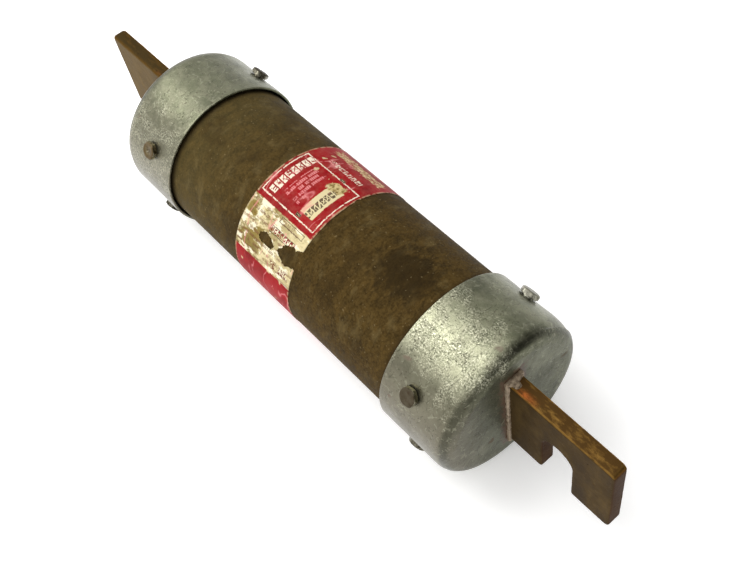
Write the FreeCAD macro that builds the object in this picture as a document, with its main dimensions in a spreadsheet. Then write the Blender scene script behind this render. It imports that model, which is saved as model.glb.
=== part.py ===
import FreeCAD, Part
import math
import os
import types
import Sketcher

# A 600 V knife-blade cartridge fuse, notched at one end, as a parametric document in millimetres.
# +X runs along the fuse from its centre to the notched blade, +Z is up, and both blades stand on edge in
# the XZ plane. The origin is the centre of the tube. Each end is modelled once, facing +X, and the plain
# end is the same set of pieces turned half a turn about Z.

# Driving dimensions: alias in the sheet, value (millimetres, or degrees for the angle), meaning.
DIMENSIONS = [
    ("overall_length", 295.3, "blade tip to blade tip"),
    ("cap_face_x", 100.0, "outer face of an end cap, from the centre"),
    ("cap_outer_radius", 33.25, "outside of an end cap"),
    ("cap_wall", 1.9, "wall of an end cap"),
    ("cap_length", 34.0, "end cap, from its face to its rim"),
    ("cap_edge_radius", 6.0, "outer rounding between face and skirt"),
    ("cap_flare", 1.1, "how far the inside of the skirt opens at the rim"),
    ("cap_flare_length", 3.0, "length of that flare"),
    ("cap_rim_round", 0.4, "rounding of the rim's outer edge"),
    ("cap_rest_flat", 0.04, "how far the skirt is rubbed flat underneath, where the fuse rests"),
    ("tube_outer_radius", 31.2, "outside of the fibre tube"),
    ("tube_wall", 4.2, "wall of the fibre tube"),
    ("tube_end_x", 91.5, "end of the tube, from the centre"),
    ("tube_chamfer", 0.6, "outer chamfer at the tube's ends"),
    ("label_start_x", -22.2, "label edge towards the plain end"),
    ("label_end_x", 11.6, "label edge towards the notched end"),
    ("label_thickness", 0.15, "paper and its glue"),
    ("blade_width", 41.3, "knife blade, across"),
    ("blade_thickness", 6.35, "knife blade, through"),
    ("blade_root_x", 76.5, "inner end of a blade"),
    ("blade_tip_radius", 2.2, "corners of the blade tip"),
    ("blade_edge_round", 0.5, "rounding of the blade's long edges"),
    ("shank_step", 0.1, "how much thinner each side of a blade is where it enters the cap"),
    ("notch_centre_x", 123.2, "middle of the rejection notch"),
    ("notch_width", 13.6, "rejection notch, along the blade"),
    ("notch_depth", 25.4, "rejection notch, from the blade's lower edge"),
    ("notch_mouth_round", 1.3, "corners of the notch's mouth"),
    ("notch_overrun", 2.0, "how far the notch's cut runs past the blade"),
    ("screw_x", 79.5, "cap screws, from the centre"),
    ("screw_angle", 32.0, "cap screws, above and below the horizontal"),
    ("screw_flats", 7.5, "hexagon head, across flats"),
    ("screw_head", 2.6, "height of the hexagon head"),
    ("screw_radius", 2.4, "shank"),
    ("screw_shank", 13.0, "shank length under the head"),
    ("screw_bevel", 0.45, "bevel round the top of the head"),
    ("drill_overrun", 3.0, "how far the screw holes run past the tube's wall"),
    ("bead_width", 1.6, "solder bead around the blade, on the cap's face"),
    ("bead_height", 1.4, "how far the bead stands off the cap"),
    ("bead_bevel", 1.1, "slope of the bead's outside"),
    ("fit_gap", 0.05, "clearance between pieces that fit together"),
    ("block_inner_x", 73.0, "terminal block, inner face"),
    ("block_outer_x", 88.0, "terminal block, outer face"),
    ("pin_x", 84.6, "cross pins through block and blade"),
    ("pin_height", 13.0, "cross pins above and below the axis"),
    ("pin_radius", 1.6, "holes for the cross pins"),
    ("pin_length", 44.0, "cross pins, end to end"),
    ("plug_side", 12.0, "filling plug, beside the axis"),
    ("plug_height", 18.5, "filling plug, above the axis"),
    ("plug_radius", 3.0, "filling plug"),
    ("plug_length", 10.0, "filling plug"),
    ("washer_thickness", 3.0, "fibre washer outside the terminal block"),
    ("partition_x", 24.0, "partition disc, face towards the centre"),
    ("partition_thickness", 2.0, "partition disc"),
    ("strip_thickness", 0.8, "short-circuit strip"),
    ("strip_width", 14.0, "short-circuit strip, across"),
    ("strip_pitch", 14.0, "spacing of the strips, side by side"),
    ("strip_foot", 8.0, "bent foot at each end of a strip"),
    ("neck_hole_radius", 1.9, "punched holes that leave the strip's necks"),
    ("neck_hole_pitch", 4.7, "those holes, across the strip"),
    ("neck_row_pitch", 9.5, "rows of holes, along the strip"),
    ("rivet_radius", 1.3, "rivet shank"),
    ("rivet_head_radius", 2.3, "rivet head"),
    ("rivet_head", 0.9, "rivet head height"),
    ("rivet_grip", 2.6, "rivet shank in the metal behind the strip"),
    ("rivet_spacing", 9.0, "the two rivets of a foot, apart"),
    ("flange_inner_x", 18.0, "copper flanges, face towards the centre"),
    ("flange_outer_x", 21.0, "copper flanges, face towards the strips"),
    ("flange_radius", 23.5, "copper flanges"),
    ("absorber_radius", 11.0, "heat absorber's hub"),
    ("absorber_face_x", 10.0, "heat absorber's soldered face"),
    ("alloy_radius", 7.0, "fusing alloy pad"),
    ("alloy_thickness", 1.5, "fusing alloy pad"),
    ("connector_x", 6.0, "trip connector's flange, spring side"),
    ("connector_flange", 2.0, "trip connector's flange thickness"),
    ("connector_radius", 16.0, "trip connector's flange"),
    ("stem_radius", 4.0, "trip connector's stem"),
    ("stem_end", 13.0, "free end of the stem, past the centre"),
    ("stem_chamfer", 0.8, "lead-in on the stem"),
    ("socket_face", 8.0, "collector socket's face, past the centre"),
    ("socket_radius", 9.0, "collector socket's hub"),
    ("trip_travel", 7.8, "how far the connector jumps"),
    ("stop_gap", 0.3, "play left at the end of that travel"),
    ("spring_radius", 13.5, "trigger spring, mean coil radius"),
    ("spring_wire", 1.0, "trigger spring, wire radius"),
    ("spring_turns", 3.0, "trigger spring, turns"),
    ("seat_thickness", 0.8, "mica washer at each end of the spring"),
    ("liner_wall", 1.2, "lining of the overload chamber"),
    ("post_circle", 20.3, "spacer posts, distance from the axis"),
    ("post_radius", 2.2, "spacer posts"),
]
STRIP_ROWS = (-1, 0, 1)  # the three strips of a short-circuit chamber, side by side
HOLE_COLUMNS = (-1.5, -0.5, 0.5, 1.5)  # columns of punched holes along a strip, in pitches
HOLE_ROWS = (-1, 0, 1)  # holes across a strip, in pitches
POST_ANGLES = (90, 210, 330)  # spacer posts round the axis
TOLERANCE = 1e-3  # how closely an edge has to match to be picked
NOTCHED_END = FreeCAD.Placement()
PLAIN_END = FreeCAD.Placement(FreeCAD.Vector(), FreeCAD.Rotation(FreeCAD.Vector(0, 0, 1), 180))


class Size:
    """A length that knows both its value and the sheet expression that gives it."""

    def __init__(self, value, text):
        self.value = value
        self.text = text

    def combined(self, other, sign, result):
        return Size(result, f"({self.text} {sign} {other.text})")

    def __add__(self, other):
        other = as_size(other)
        return self.combined(other, "+", self.value + other.value)

    def __sub__(self, other):
        other = as_size(other)
        return self.combined(other, "-", self.value - other.value)

    def __mul__(self, factor):
        other = as_size(factor)
        return self.combined(other, "*", self.value * other.value)

    def __truediv__(self, divisor):
        other = as_size(divisor)
        return self.combined(other, "/", self.value / other.value)

    def __neg__(self):
        return self * -1


def as_size(thing):
    return thing if isinstance(thing, Size) else Size(float(thing), f"({float(thing):.9f})")


doc = FreeCAD.newDocument("cartridge_fuse")
sheet = doc.addObject("Spreadsheet::Sheet", "dims")
for line, (alias, value, meaning) in enumerate(DIMENSIONS, start=1):
    sheet.set(f"A{line}", meaning)
    sheet.set(f"B{line}", str(value))
    sheet.setAlias(f"B{line}", alias)
doc.recompute()

d = types.SimpleNamespace(**{alias: Size(value, f"dims.{alias}") for alias, value, _ in DIMENSIONS})
cap_inner = d.cap_outer_radius - d.cap_wall
cap_rim_x = d.cap_face_x - d.cap_length
tube_inner = d.tube_outer_radius - d.tube_wall
inside = tube_inner - d.fit_gap * 2  # radius of what slides into the tube
rivet_hole = d.rivet_radius + d.fit_gap
centre = (as_size(0), as_size(0))
nodes = []  # every body that is written out


# Sketches and features


def new_body(label, placement=NOTCHED_END):
    body = doc.addObject("PartDesign::Body", label)
    body.Label = label
    body.AllowCompound = True
    body.Placement = placement
    nodes.append(body)
    return body


def new_sketch(body, role):
    """A sketch on one of the body's own origin planes."""
    plane = next(feature for feature in body.Origin.OriginFeatures if feature.Role == role)
    sketch = body.newObject("Sketcher::SketchObject", "sketch")
    sketch.AttachmentSupport = [(plane, "")]
    sketch.MapMode = "FlatFace"
    return sketch


def vector(point):
    return FreeCAD.Vector(point[0].value, point[1].value, 0)


def hold(sketch, index, size):
    sketch.setExpression(f"Constraints[{index}]", size.text)


def hold_point(sketch, geometry, position, point):
    """Ties a point of the sketch to its two sizes, measured from the sketch's origin."""
    for kind, size in (("DistanceX", point[0]), ("DistanceY", point[1])):
        measured = Sketcher.Constraint(kind, -1, 1, geometry, position, size.value)
        hold(sketch, sketch.addConstraint(measured), size)


def polygon(body, role, corners):
    """A closed outline through the given corners."""
    sketch = new_sketch(body, role)
    count = len(corners)
    for i in range(count):
        sketch.addGeometry(Part.LineSegment(vector(corners[i]), vector(corners[(i + 1) % count])))
    for i in range(count):
        sketch.addConstraint(Sketcher.Constraint("Coincident", i, 2, (i + 1) % count, 1))
    for i in range(count):
        hold_point(sketch, i, 1, corners[i])
    return sketch


def rectangle(body, role, middle, width, height):
    left, right = middle[0] - width / 2, middle[0] + width / 2
    low, high = middle[1] - height / 2, middle[1] + height / 2
    return polygon(body, role, [(left, low), (right, low), (right, high), (left, high)])


def circles(body, role, centres, radius):
    sketch = new_sketch(body, role)
    for point in centres:
        ring = Part.Circle(vector(point), FreeCAD.Vector(0, 0, 1), radius.value)
        index = sketch.addGeometry(ring)
        hold_point(sketch, index, 3, point)
        hold(sketch, sketch.addConstraint(Sketcher.Constraint("Radius", index, radius.value)), radius)
    return sketch


def lift(sketch, height):
    """Moves a sketch along its own normal."""
    sketch.setExpression("AttachmentOffset.Base.z", height.text)
    return sketch


def face_outwards(sketch, angle, height):
    """Turns a sketch on the XY plane about X to face the angle (from +Y to +Z), at a height off the axis."""
    turn = FreeCAD.Rotation(FreeCAD.Vector(1, 0, 0), angle - 90)
    sketch.AttachmentOffset = FreeCAD.Placement(FreeCAD.Vector(), turn)
    sketch.setExpression("AttachmentOffset.Base.y", (height * math.cos(math.radians(angle))).text)
    sketch.setExpression("AttachmentOffset.Base.z", (height * math.sin(math.radians(angle))).text)
    return sketch


def feature(body, kind, sketch, length=None, **settings):
    """A PartDesign feature made from a sketch."""
    made = body.newObject(f"PartDesign::{kind}", kind.lower())
    made.Profile = sketch
    for name, setting in settings.items():
        setattr(made, name, setting)
    if length is not None:
        made.setExpression("Length", length.text)
    return made


def turned(body, corners):
    """Spins a profile on the XZ plane a full turn about the fuse's axis."""
    sketch = polygon(body, "XZ_Plane", corners)
    return feature(body, "Revolution", sketch, ReferenceAxis=(sketch, ["H_Axis"]), Angle=360.0)


def cut_through(body, sketch, **settings):
    return feature(body, "Pocket", sketch, Type="ThroughAll", **settings)


def cut_both_ways(body, sketch):
    return cut_through(body, sketch, SideType="Symmetric")


def ring(label, inner, outer, start, end, placement=NOTCHED_END):
    """A flat ring or sleeve round the axis."""
    body = new_body(label, placement)
    turned(body, [(start, inner), (end, inner), (end, outer), (start, outer)])
    return body


def disc(label, radius, start, end, placement=NOTCHED_END):
    return ring(label, as_size(0), radius, start, end, placement)


def dress(body, kind, wanted, size):
    """Fillet or chamfer on the edges of the body's present shape that a test picks out."""
    base = body.Tip
    doc.recompute()
    names = [f"Edge{i}" for i, edge in enumerate(base.Shape.Edges, start=1) if wanted(edge)]
    if not names:
        raise ValueError(f"{body.Label}: found no edge for its {kind.lower()}")
    made = body.newObject(f"PartDesign::{kind}", kind.lower())
    made.Base = (base, names)
    made.setExpression("Radius" if kind == "Fillet" else "Size", size.text)
    return made


def circle_at(x, radius):
    """Picks a circular edge round the axis."""

    def wanted(edge):
        if not isinstance(edge.Curve, Part.Circle):
            return False
        same_place = abs(edge.Curve.Center.x - x.value) < TOLERANCE
        return same_place and abs(edge.Curve.Radius - radius.value) < TOLERANCE

    return wanted


def screw_angles():
    """The four cap screws, as angles from +Y towards +Z."""
    tilt = d.screw_angle.value
    return (tilt, 180 - tilt, 180 + tilt, 360 - tilt)


def screw_holes(body, x, radius, start):
    """Holes for the cap screws, from a height off the axis outwards."""
    for angle in screw_angles():
        sketch = face_outwards(circles(body, "XY_Plane", [(x, as_size(0))], radius), angle, start)
        cut_through(body, sketch, Reversed=True)


def slot_for_blade(body, clearance):
    """The opening that a knife blade passes through."""
    section = (d.blade_thickness + clearance * 2, d.blade_width + clearance * 2)
    return rectangle(body, "YZ_Plane", centre, *section)


def web_middle(row):
    """Centre of a strip's flat web, seen along the fuse."""
    return (d.strip_pitch * row + d.strip_thickness / 2, as_size(0))


def rivet_places(rows=STRIP_ROWS):
    """Two rivets through the foot of each strip, seen along the fuse."""
    places = []
    for row in rows:
        side = d.strip_pitch * row + (d.strip_foot + d.strip_thickness) / 2
        places.append((side, d.rivet_spacing / 2))
        places.append((side, -d.rivet_spacing / 2))
    return places


def pin_places():
    return [(d.pin_x, d.pin_height), (d.pin_x, -d.pin_height)]


# Outside


def fibre_tube():
    """Wound fibre tube with a clearance hole for every cap screw."""
    body = new_body("fibre_tube")
    end, bevel = d.tube_end_x, d.tube_chamfer
    outer = d.tube_outer_radius
    turned(
        body,
        [
            (-end, tube_inner),
            (end, tube_inner),
            (end, outer - bevel),
            (end - bevel, outer),
            (bevel - end, outer),
            (-end, outer - bevel),
        ],
    )
    for x in (d.screw_x, -d.screw_x):
        screw_holes(body, x, d.screw_radius + d.fit_gap * 4, tube_inner - d.drill_overrun)


def paper_label():
    """Printed paper band round the tube, nearer the plain end."""
    outer = d.tube_outer_radius + d.label_thickness
    ring("paper_label", d.tube_outer_radius, outer, d.label_start_x, d.label_end_x)


def end_cap(end, placement):
    """Drawn metal cup over the tube's end: slotted face, large rounding, skirt flared inside its rim."""
    body = new_body(f"{end}_end_cap", placement)
    floor = d.cap_face_x - d.cap_wall
    turned(
        body,
        [
            (floor, as_size(0)),
            (d.cap_face_x, as_size(0)),
            (d.cap_face_x, d.cap_outer_radius),
            (cap_rim_x, d.cap_outer_radius),
            (cap_rim_x, cap_inner + d.cap_flare),
            (cap_rim_x + d.cap_flare_length, cap_inner),
            (floor, cap_inner),
        ],
    )
    dress(body, "Fillet", circle_at(d.cap_face_x, d.cap_outer_radius), d.cap_edge_radius)
    dress(body, "Fillet", circle_at(floor, cap_inner), d.cap_edge_radius - d.cap_wall)
    dress(body, "Fillet", circle_at(cap_rim_x, d.cap_outer_radius), d.cap_rim_round)
    cut_both_ways(body, slot_for_blade(body, d.fit_gap * 3))
    underneath = (as_size(0), -d.cap_outer_radius)
    cut_both_ways(body, rectangle(body, "YZ_Plane", underneath, d.cap_outer_radius, d.cap_rest_flat * 2))
    screw_holes(body, d.screw_x, d.screw_radius + d.fit_gap * 4, tube_inner)


def notch_outline(body):
    """A U standing on its head, open below the blade's lower edge and round at the top."""
    sketch = new_sketch(body, "XZ_Plane")
    left, right = d.notch_centre_x - d.notch_width / 2, d.notch_centre_x + d.notch_width / 2
    low = -d.blade_width / 2 - d.notch_overrun
    shoulder = d.notch_depth - d.blade_width / 2 - d.notch_width / 2
    corners = [(left, shoulder), (left, low), (right, low), (right, shoulder)]
    for first, second in zip(corners, corners[1:]):
        sketch.addGeometry(Part.LineSegment(vector(first), vector(second)))
    middle = (d.notch_centre_x, shoulder)
    top = Part.Circle(vector(middle), FreeCAD.Vector(0, 0, 1), d.notch_width.value / 2)
    arc = sketch.addGeometry(Part.ArcOfCircle(top, 0, math.pi))
    sketch.addConstraint(Sketcher.Constraint("Coincident", 0, 2, 1, 1))
    sketch.addConstraint(Sketcher.Constraint("Coincident", 1, 2, 2, 1))
    sketch.addConstraint(Sketcher.Constraint("Tangent", 2, 2, arc, 1))
    sketch.addConstraint(Sketcher.Constraint("Tangent", 0, 1, arc, 2))
    sketch.addConstraint(Sketcher.Constraint("Vertical", 0))
    sketch.addConstraint(Sketcher.Constraint("Vertical", 2))
    hold_point(sketch, 0, 2, corners[1])
    hold_point(sketch, 1, 2, corners[2])
    height = sketch.addConstraint(Sketcher.Constraint("DistanceY", -1, 1, arc, 3, shoulder.value))
    hold(sketch, height, shoulder)
    return sketch


def shank_section():
    """Width and height of the blade where it passes through the solder, the cap and the block."""
    return (d.blade_thickness - d.shank_step * 2, d.blade_width - d.shank_step * 2)


def knife_blade(end, placement):
    """Flat copper blade on edge, with a slightly thinner shank inside the cap and, at one end, the notch."""
    body = new_body(f"{end}_knife_blade", placement)
    tip, half = d.overall_length / 2, d.blade_width / 2
    shoulder = d.cap_face_x + d.bead_height + d.fit_gap * 2
    flat = polygon(body, "XZ_Plane", [(shoulder, -half), (tip, -half), (tip, half), (shoulder, half)])
    feature(body, "Pad", flat, length=d.blade_thickness, SideType="Symmetric")

    def along_y_at(x, z):
        def wanted(edge):
            points = [vertex.Point for vertex in edge.Vertexes]
            return all(
                abs(p.x - x.value) < TOLERANCE and abs(abs(p.z) - z.value) < TOLERANCE for p in points
            )

        return wanted

    dress(body, "Fillet", along_y_at(tip, half), d.blade_tip_radius)
    if end == "notched":
        cut_both_ways(body, notch_outline(body))
        for side in (-1, 1):
            mouth = along_y_at(d.notch_centre_x + d.notch_width * (side / 2), half)
            dress(body, "Fillet", mouth, d.notch_mouth_round)

    def round_a_side_face(edge):
        points = [vertex.Point for vertex in edge.Vertexes]
        points.append(edge.valueAt((edge.FirstParameter + edge.LastParameter) / 2))
        beyond_shoulder = points[-1].x > shoulder.value + TOLERANCE
        side = d.blade_thickness.value / 2
        return beyond_shoulder and all(abs(abs(p.y) - side) < TOLERANCE for p in points)

    dress(body, "Fillet", round_a_side_face, d.blade_edge_round)
    shank = lift(rectangle(body, "YZ_Plane", centre, *shank_section()), d.blade_root_x)
    feature(body, "Pad", shank, length=shoulder - d.blade_root_x)
    cut_both_ways(body, circles(body, "XZ_Plane", pin_places(), d.pin_radius))


def hexagon(body, reach):
    """A hexagon with two corners along X, held by a construction circle."""
    sketch = new_sketch(body, "XY_Plane")
    sides = 6
    corners = []
    for k in range(sides):
        around = 2 * math.pi * k / sides
        x = d.screw_x.value + reach.value * math.cos(around)
        corners.append(FreeCAD.Vector(x, reach.value * math.sin(around), 0))
    for k in range(sides):
        sketch.addGeometry(Part.LineSegment(corners[k], corners[(k + 1) % sides]))
    guide = sketch.addGeometry(
        Part.Circle(vector((d.screw_x, as_size(0))), FreeCAD.Vector(0, 0, 1), reach.value), True
    )
    for k in range(sides):
        sketch.addConstraint(Sketcher.Constraint("Coincident", k, 2, (k + 1) % sides, 1))
        sketch.addConstraint(Sketcher.Constraint("PointOnObject", k, 1, guide))
    for k in range(sides - 1):
        sketch.addConstraint(Sketcher.Constraint("Equal", k, k + 1))
    hold_point(sketch, guide, 3, (d.screw_x, as_size(0)))
    hold_point(sketch, 0, 1, (d.screw_x + reach, as_size(0)))
    return sketch


def cap_screws(end, placement):
    """Four hexagon-headed screws through cap and tube into the terminal block."""
    body = new_body(f"{end}_cap_screws", placement)
    seat = d.cap_outer_radius
    for angle in screw_angles():
        head = face_outwards(hexagon(body, d.screw_flats / math.sqrt(3)), angle, seat)
        feature(body, "Pad", head, length=d.screw_head)
        shank = circles(body, "XY_Plane", [(d.screw_x, as_size(0))], d.screw_radius)
        feature(body, "Pad", face_outwards(shank, angle, seat), length=d.screw_shank, Reversed=True)
    top = (seat + d.screw_head).value

    def on_top(edge):
        for angle in screw_angles():
            outward = FreeCAD.Vector(0, math.cos(math.radians(angle)), math.sin(math.radians(angle)))
            if all(abs(vertex.Point.dot(outward) - top) < TOLERANCE for vertex in edge.Vertexes):
                return True
        return False

    dress(body, "Chamfer", on_top, d.screw_bevel)


def solder_bead(end, placement):
    """Solder that seals the blade in the cap's slot and stands in a bead on the face."""
    body = new_body(f"{end}_solder_bead", placement)
    width = d.blade_thickness + d.bead_width * 2
    height = d.blade_width + d.bead_width * 2
    outer = lift(rectangle(body, "YZ_Plane", centre, width, height), d.cap_face_x)
    feature(body, "Pad", outer, length=d.bead_height)
    top = (d.cap_face_x + d.bead_height).value
    dress(
        body,
        "Chamfer",
        lambda edge: all(abs(vertex.Point.x - top) < TOLERANCE for vertex in edge.Vertexes),
        d.bead_bevel,
    )
    cut_both_ways(body, rectangle(body, "YZ_Plane", centre, *shank_section()))


# Inside each end


def terminal_block(end, placement):
    """Brass block in the tube's end: it holds the blade, and takes the cap screws and the strips."""
    body = disc(f"{end}_terminal_block", inside, d.block_inner_x, d.block_outer_x, placement)
    floor = d.blade_root_x - d.fit_gap
    blade = lift(slot_for_blade(body, d.fit_gap), floor)
    cut_through(body, blade, Reversed=True)
    bottom = d.cap_outer_radius - d.screw_shank - d.stop_gap
    screw_holes(body, d.screw_x, d.screw_radius + d.fit_gap, bottom)
    cut_both_ways(body, circles(body, "XZ_Plane", pin_places(), d.pin_radius))
    pour = circles(body, "YZ_Plane", [(d.plug_side, d.plug_height)], d.plug_radius + d.fit_gap)
    cut_both_ways(body, pour)
    rivets = lift(circles(body, "YZ_Plane", rivet_places(), rivet_hole), d.block_inner_x)
    feature(body, "Pocket", rivets, length=d.rivet_grip + d.stop_gap, Reversed=True)


def blade_pins(end, placement):
    """Two pins across the block that lock the blade."""
    body = new_body(f"{end}_blade_pins", placement)
    sketch = circles(body, "XZ_Plane", pin_places(), d.pin_radius - d.fit_gap)
    feature(body, "Pad", sketch, length=d.pin_length, SideType="Symmetric")


def filling_plug(end, placement):
    """Closes the hole through which the sand was poured."""
    body = new_body(f"{end}_filling_plug", placement)
    sketch = circles(body, "YZ_Plane", [(d.plug_side, d.plug_height)], d.plug_radius)
    feature(body, "Pad", lift(sketch, d.block_outer_x - d.plug_length), length=d.plug_length)


def end_washer(end, placement):
    """Fibre washer against the block's outer side."""
    far = d.block_outer_x + d.washer_thickness
    body = disc(f"{end}_end_washer", inside, d.block_outer_x, far, placement)
    cut_both_ways(body, slot_for_blade(body, d.fit_gap * 3))


def short_circuit_strip(end, placement, row, number):
    """Thin copper strip with rows of punched holes. One foot is riveted to the block, one to a flange."""
    body = new_body(f"{end}_short_circuit_strip_{number}", placement)
    near, far = d.flange_outer_x, d.block_inner_x
    thick = d.strip_thickness
    back = d.strip_pitch * row
    corners = [
        (near, back),
        (far, back),
        (far, back + d.strip_foot),
        (far - thick, back + d.strip_foot),
        (far - thick, back + thick),
        (near + thick, back + thick),
        (near + thick, back + d.strip_foot),
        (near, back + d.strip_foot),
    ]
    bent = polygon(body, "XY_Plane", corners)
    feature(body, "Pad", bent, length=d.strip_width, SideType="Symmetric")
    middle = (d.block_inner_x + d.partition_x + d.partition_thickness) / 2
    holes = []
    for column in HOLE_COLUMNS:
        for level in HOLE_ROWS:
            holes.append((middle + d.neck_row_pitch * column, d.neck_hole_pitch * level))
    cut_both_ways(body, circles(body, "XZ_Plane", holes, d.neck_hole_radius))
    cut_both_ways(body, circles(body, "YZ_Plane", rivet_places([row]), rivet_hole))


def rivets(label, placement, foot, into_block):
    """Six rivets: head on the free side of the strips' feet, shank into the metal behind them."""
    body = new_body(label, placement)
    shank = lift(circles(body, "YZ_Plane", rivet_places(), d.rivet_radius), foot)
    feature(body, "Pad", shank, length=d.strip_thickness + d.rivet_grip, Reversed=not into_block)
    head = lift(circles(body, "YZ_Plane", rivet_places(), d.rivet_head_radius), foot)
    feature(body, "Pad", head, length=d.rivet_head, Reversed=into_block)


def sand_filling(end, placement):
    """Packed quartz sand round the strips, which quenches their arc."""
    start = d.partition_x + d.partition_thickness
    body = disc(f"{end}_sand_filling", inside, start, d.block_inner_x, placement)
    clear = d.fit_gap * 2
    for row in STRIP_ROWS:
        web = (d.strip_thickness + clear, d.strip_width + clear)
        cut_both_ways(body, rectangle(body, "YZ_Plane", web_middle(row), *web))
        foot_middle = (d.strip_pitch * row + d.strip_foot / 2, as_size(0))
        foot = rectangle(body, "YZ_Plane", foot_middle, d.strip_foot + clear, web[1])
        lift(foot, d.block_inner_x - d.strip_thickness - d.rivet_head - d.fit_gap)
        cut_through(body, foot, Reversed=True)


def partition_disc(end, placement):
    """Fibre disc between a short-circuit chamber and the overload chamber, slotted for the strips."""
    far = d.partition_x + d.partition_thickness
    body = disc(f"{end}_partition_disc", inside, d.partition_x, far, placement)
    clear = d.fit_gap * 4
    for row in STRIP_ROWS:
        slot = (d.strip_thickness + clear, d.strip_width + clear)
        cut_both_ways(body, rectangle(body, "YZ_Plane", web_middle(row), *slot))


# The overload trip in the middle


def heat_absorber():
    """Copper mass that soaks up the heat of a passing overload and carries the soldered joint."""
    body = new_body("heat_absorber")
    turned(
        body,
        [
            (d.absorber_face_x, as_size(0)),
            (d.flange_outer_x, as_size(0)),
            (d.flange_outer_x, d.flange_radius),
            (d.flange_inner_x, d.flange_radius),
            (d.flange_inner_x, d.absorber_radius),
            (d.absorber_face_x, d.absorber_radius),
        ],
    )
    cut_flange_rivets(body)


def collector_socket():
    """Copper socket on the plain side. The connector's stem slides deeper into it when the fuse trips."""
    body = new_body("collector_socket", PLAIN_END)
    bore = d.stem_radius + d.fit_gap
    turned(
        body,
        [
            (d.socket_face, bore),
            (d.flange_outer_x, bore),
            (d.flange_outer_x, d.flange_radius),
            (d.flange_inner_x, d.flange_radius),
            (d.flange_inner_x, d.socket_radius),
            (d.socket_face, d.socket_radius),
        ],
    )
    cut_flange_rivets(body)


def cut_flange_rivets(body):
    holes = lift(circles(body, "YZ_Plane", rivet_places(), rivet_hole), d.flange_outer_x)
    feature(body, "Pocket", holes, length=d.flange_outer_x - d.flange_inner_x)


def trip_connector():
    """The piece that jumps: a soldered nose, a flange that the spring pushes, and a sliding stem."""
    body = new_body("trip_connector")
    turned(
        body,
        [
            (-d.stem_end, as_size(0)),
            (d.absorber_face_x - d.alloy_thickness, as_size(0)),
            (d.absorber_face_x - d.alloy_thickness, d.alloy_radius),
            (d.connector_x, d.alloy_radius),
            (d.connector_x, d.connector_radius),
            (d.connector_x - d.connector_flange, d.connector_radius),
            (d.connector_x - d.connector_flange, d.stem_radius),
            (-d.stem_end, d.stem_radius),
        ],
    )
    dress(body, "Chamfer", circle_at(-d.stem_end, d.stem_radius), d.stem_chamfer)


def stop_bush():
    """Ceramic ring that ends the connector's travel."""
    face = d.connector_x - d.connector_flange - d.trip_travel - d.stop_gap
    ring("stop_bush", d.stem_radius + d.fit_gap * 4, d.socket_radius, -d.socket_face, face)


def trigger_spring():
    """Compression spring between its two mica seats, held short by the soldered joint."""
    fixed = d.flange_inner_x - d.seat_thickness
    moving = d.connector_x + d.seat_thickness
    rim = d.connector_radius
    ring("fixed_spring_seat", d.absorber_radius + d.fit_gap, rim, fixed, d.flange_inner_x)
    ring("moving_spring_seat", d.alloy_radius + d.fit_gap, rim, d.connector_x, moving)
    body = new_body("trigger_spring")
    start = moving + d.spring_wire
    wire = circles(body, "XZ_Plane", [(start, d.spring_radius)], d.spring_wire - d.fit_gap)
    coil = feature(body, "AdditiveHelix", wire, Mode="height-turns-angle")
    coil.ReferenceAxis = (wire, ["H_Axis"])
    coil.setExpression("Height", (fixed - d.spring_wire - start).text)
    coil.setExpression("Turns", d.spring_turns.text)


def spacer_posts():
    """Three insulating rods that hold the two copper flanges apart."""
    body = new_body("spacer_posts")
    places = []
    for angle in POST_ANGLES:
        across, up = math.cos(math.radians(angle)), math.sin(math.radians(angle))
        places.append((d.post_circle * across, d.post_circle * up))
    sketch = circles(body, "YZ_Plane", places, d.post_radius)
    feature(body, "Pad", sketch, length=d.flange_inner_x * 2, SideType="Symmetric")


# The whole fuse

fibre_tube()
paper_label()
for end, placement in (("notched", NOTCHED_END), ("plain", PLAIN_END)):
    for make in (
        end_cap,
        knife_blade,
        cap_screws,
        solder_bead,
        terminal_block,
        blade_pins,
        filling_plug,
        end_washer,
        sand_filling,
        partition_disc,
    ):
        make(end, placement)
    for number, row in enumerate(STRIP_ROWS, start=1):
        short_circuit_strip(end, placement, row, number)
    rivets(f"{end}_block_rivets", placement, d.block_inner_x - d.strip_thickness, True)
    rivets(f"{end}_flange_rivets", placement, d.flange_outer_x + d.strip_thickness, False)
heat_absorber()
disc("fusing_alloy", d.alloy_radius, d.absorber_face_x - d.alloy_thickness, d.absorber_face_x)
trip_connector()
collector_socket()
stop_bush()
trigger_spring()
ring("chamber_liner", inside - d.liner_wall, inside, -d.partition_x, d.partition_x)
spacer_posts()

doc.recompute()
for thing in doc.Objects:
    if "Invalid" in thing.State or "Error" in thing.State:
        raise RuntimeError(f"{thing.Label} ({thing.Name}) failed: {thing.State}")
for node in nodes:
    if node.Shape.isNull() or not node.Shape.isValid():
        raise RuntimeError(f"{node.Label} has no valid shape")

os.makedirs("parts", exist_ok=True)
for node in nodes:
    node.Shape.exportStep(f"parts/{node.Label}.step")
    box = node.Shape.BoundBox
    print(
        f"{node.Label:34s} {len(node.Shape.Solids)} solids {node.Shape.Volume / 1000:9.3f} cm3"
        f"  x {box.XMin:8.2f} {box.XMax:8.2f}  y {box.YMin:7.2f} {box.YMax:7.2f}"
        f"  z {box.ZMin:7.2f} {box.ZMax:7.2f}"
    )
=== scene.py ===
import math

import bmesh
import bpy
from mathutils import Matrix, Vector, noise


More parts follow.
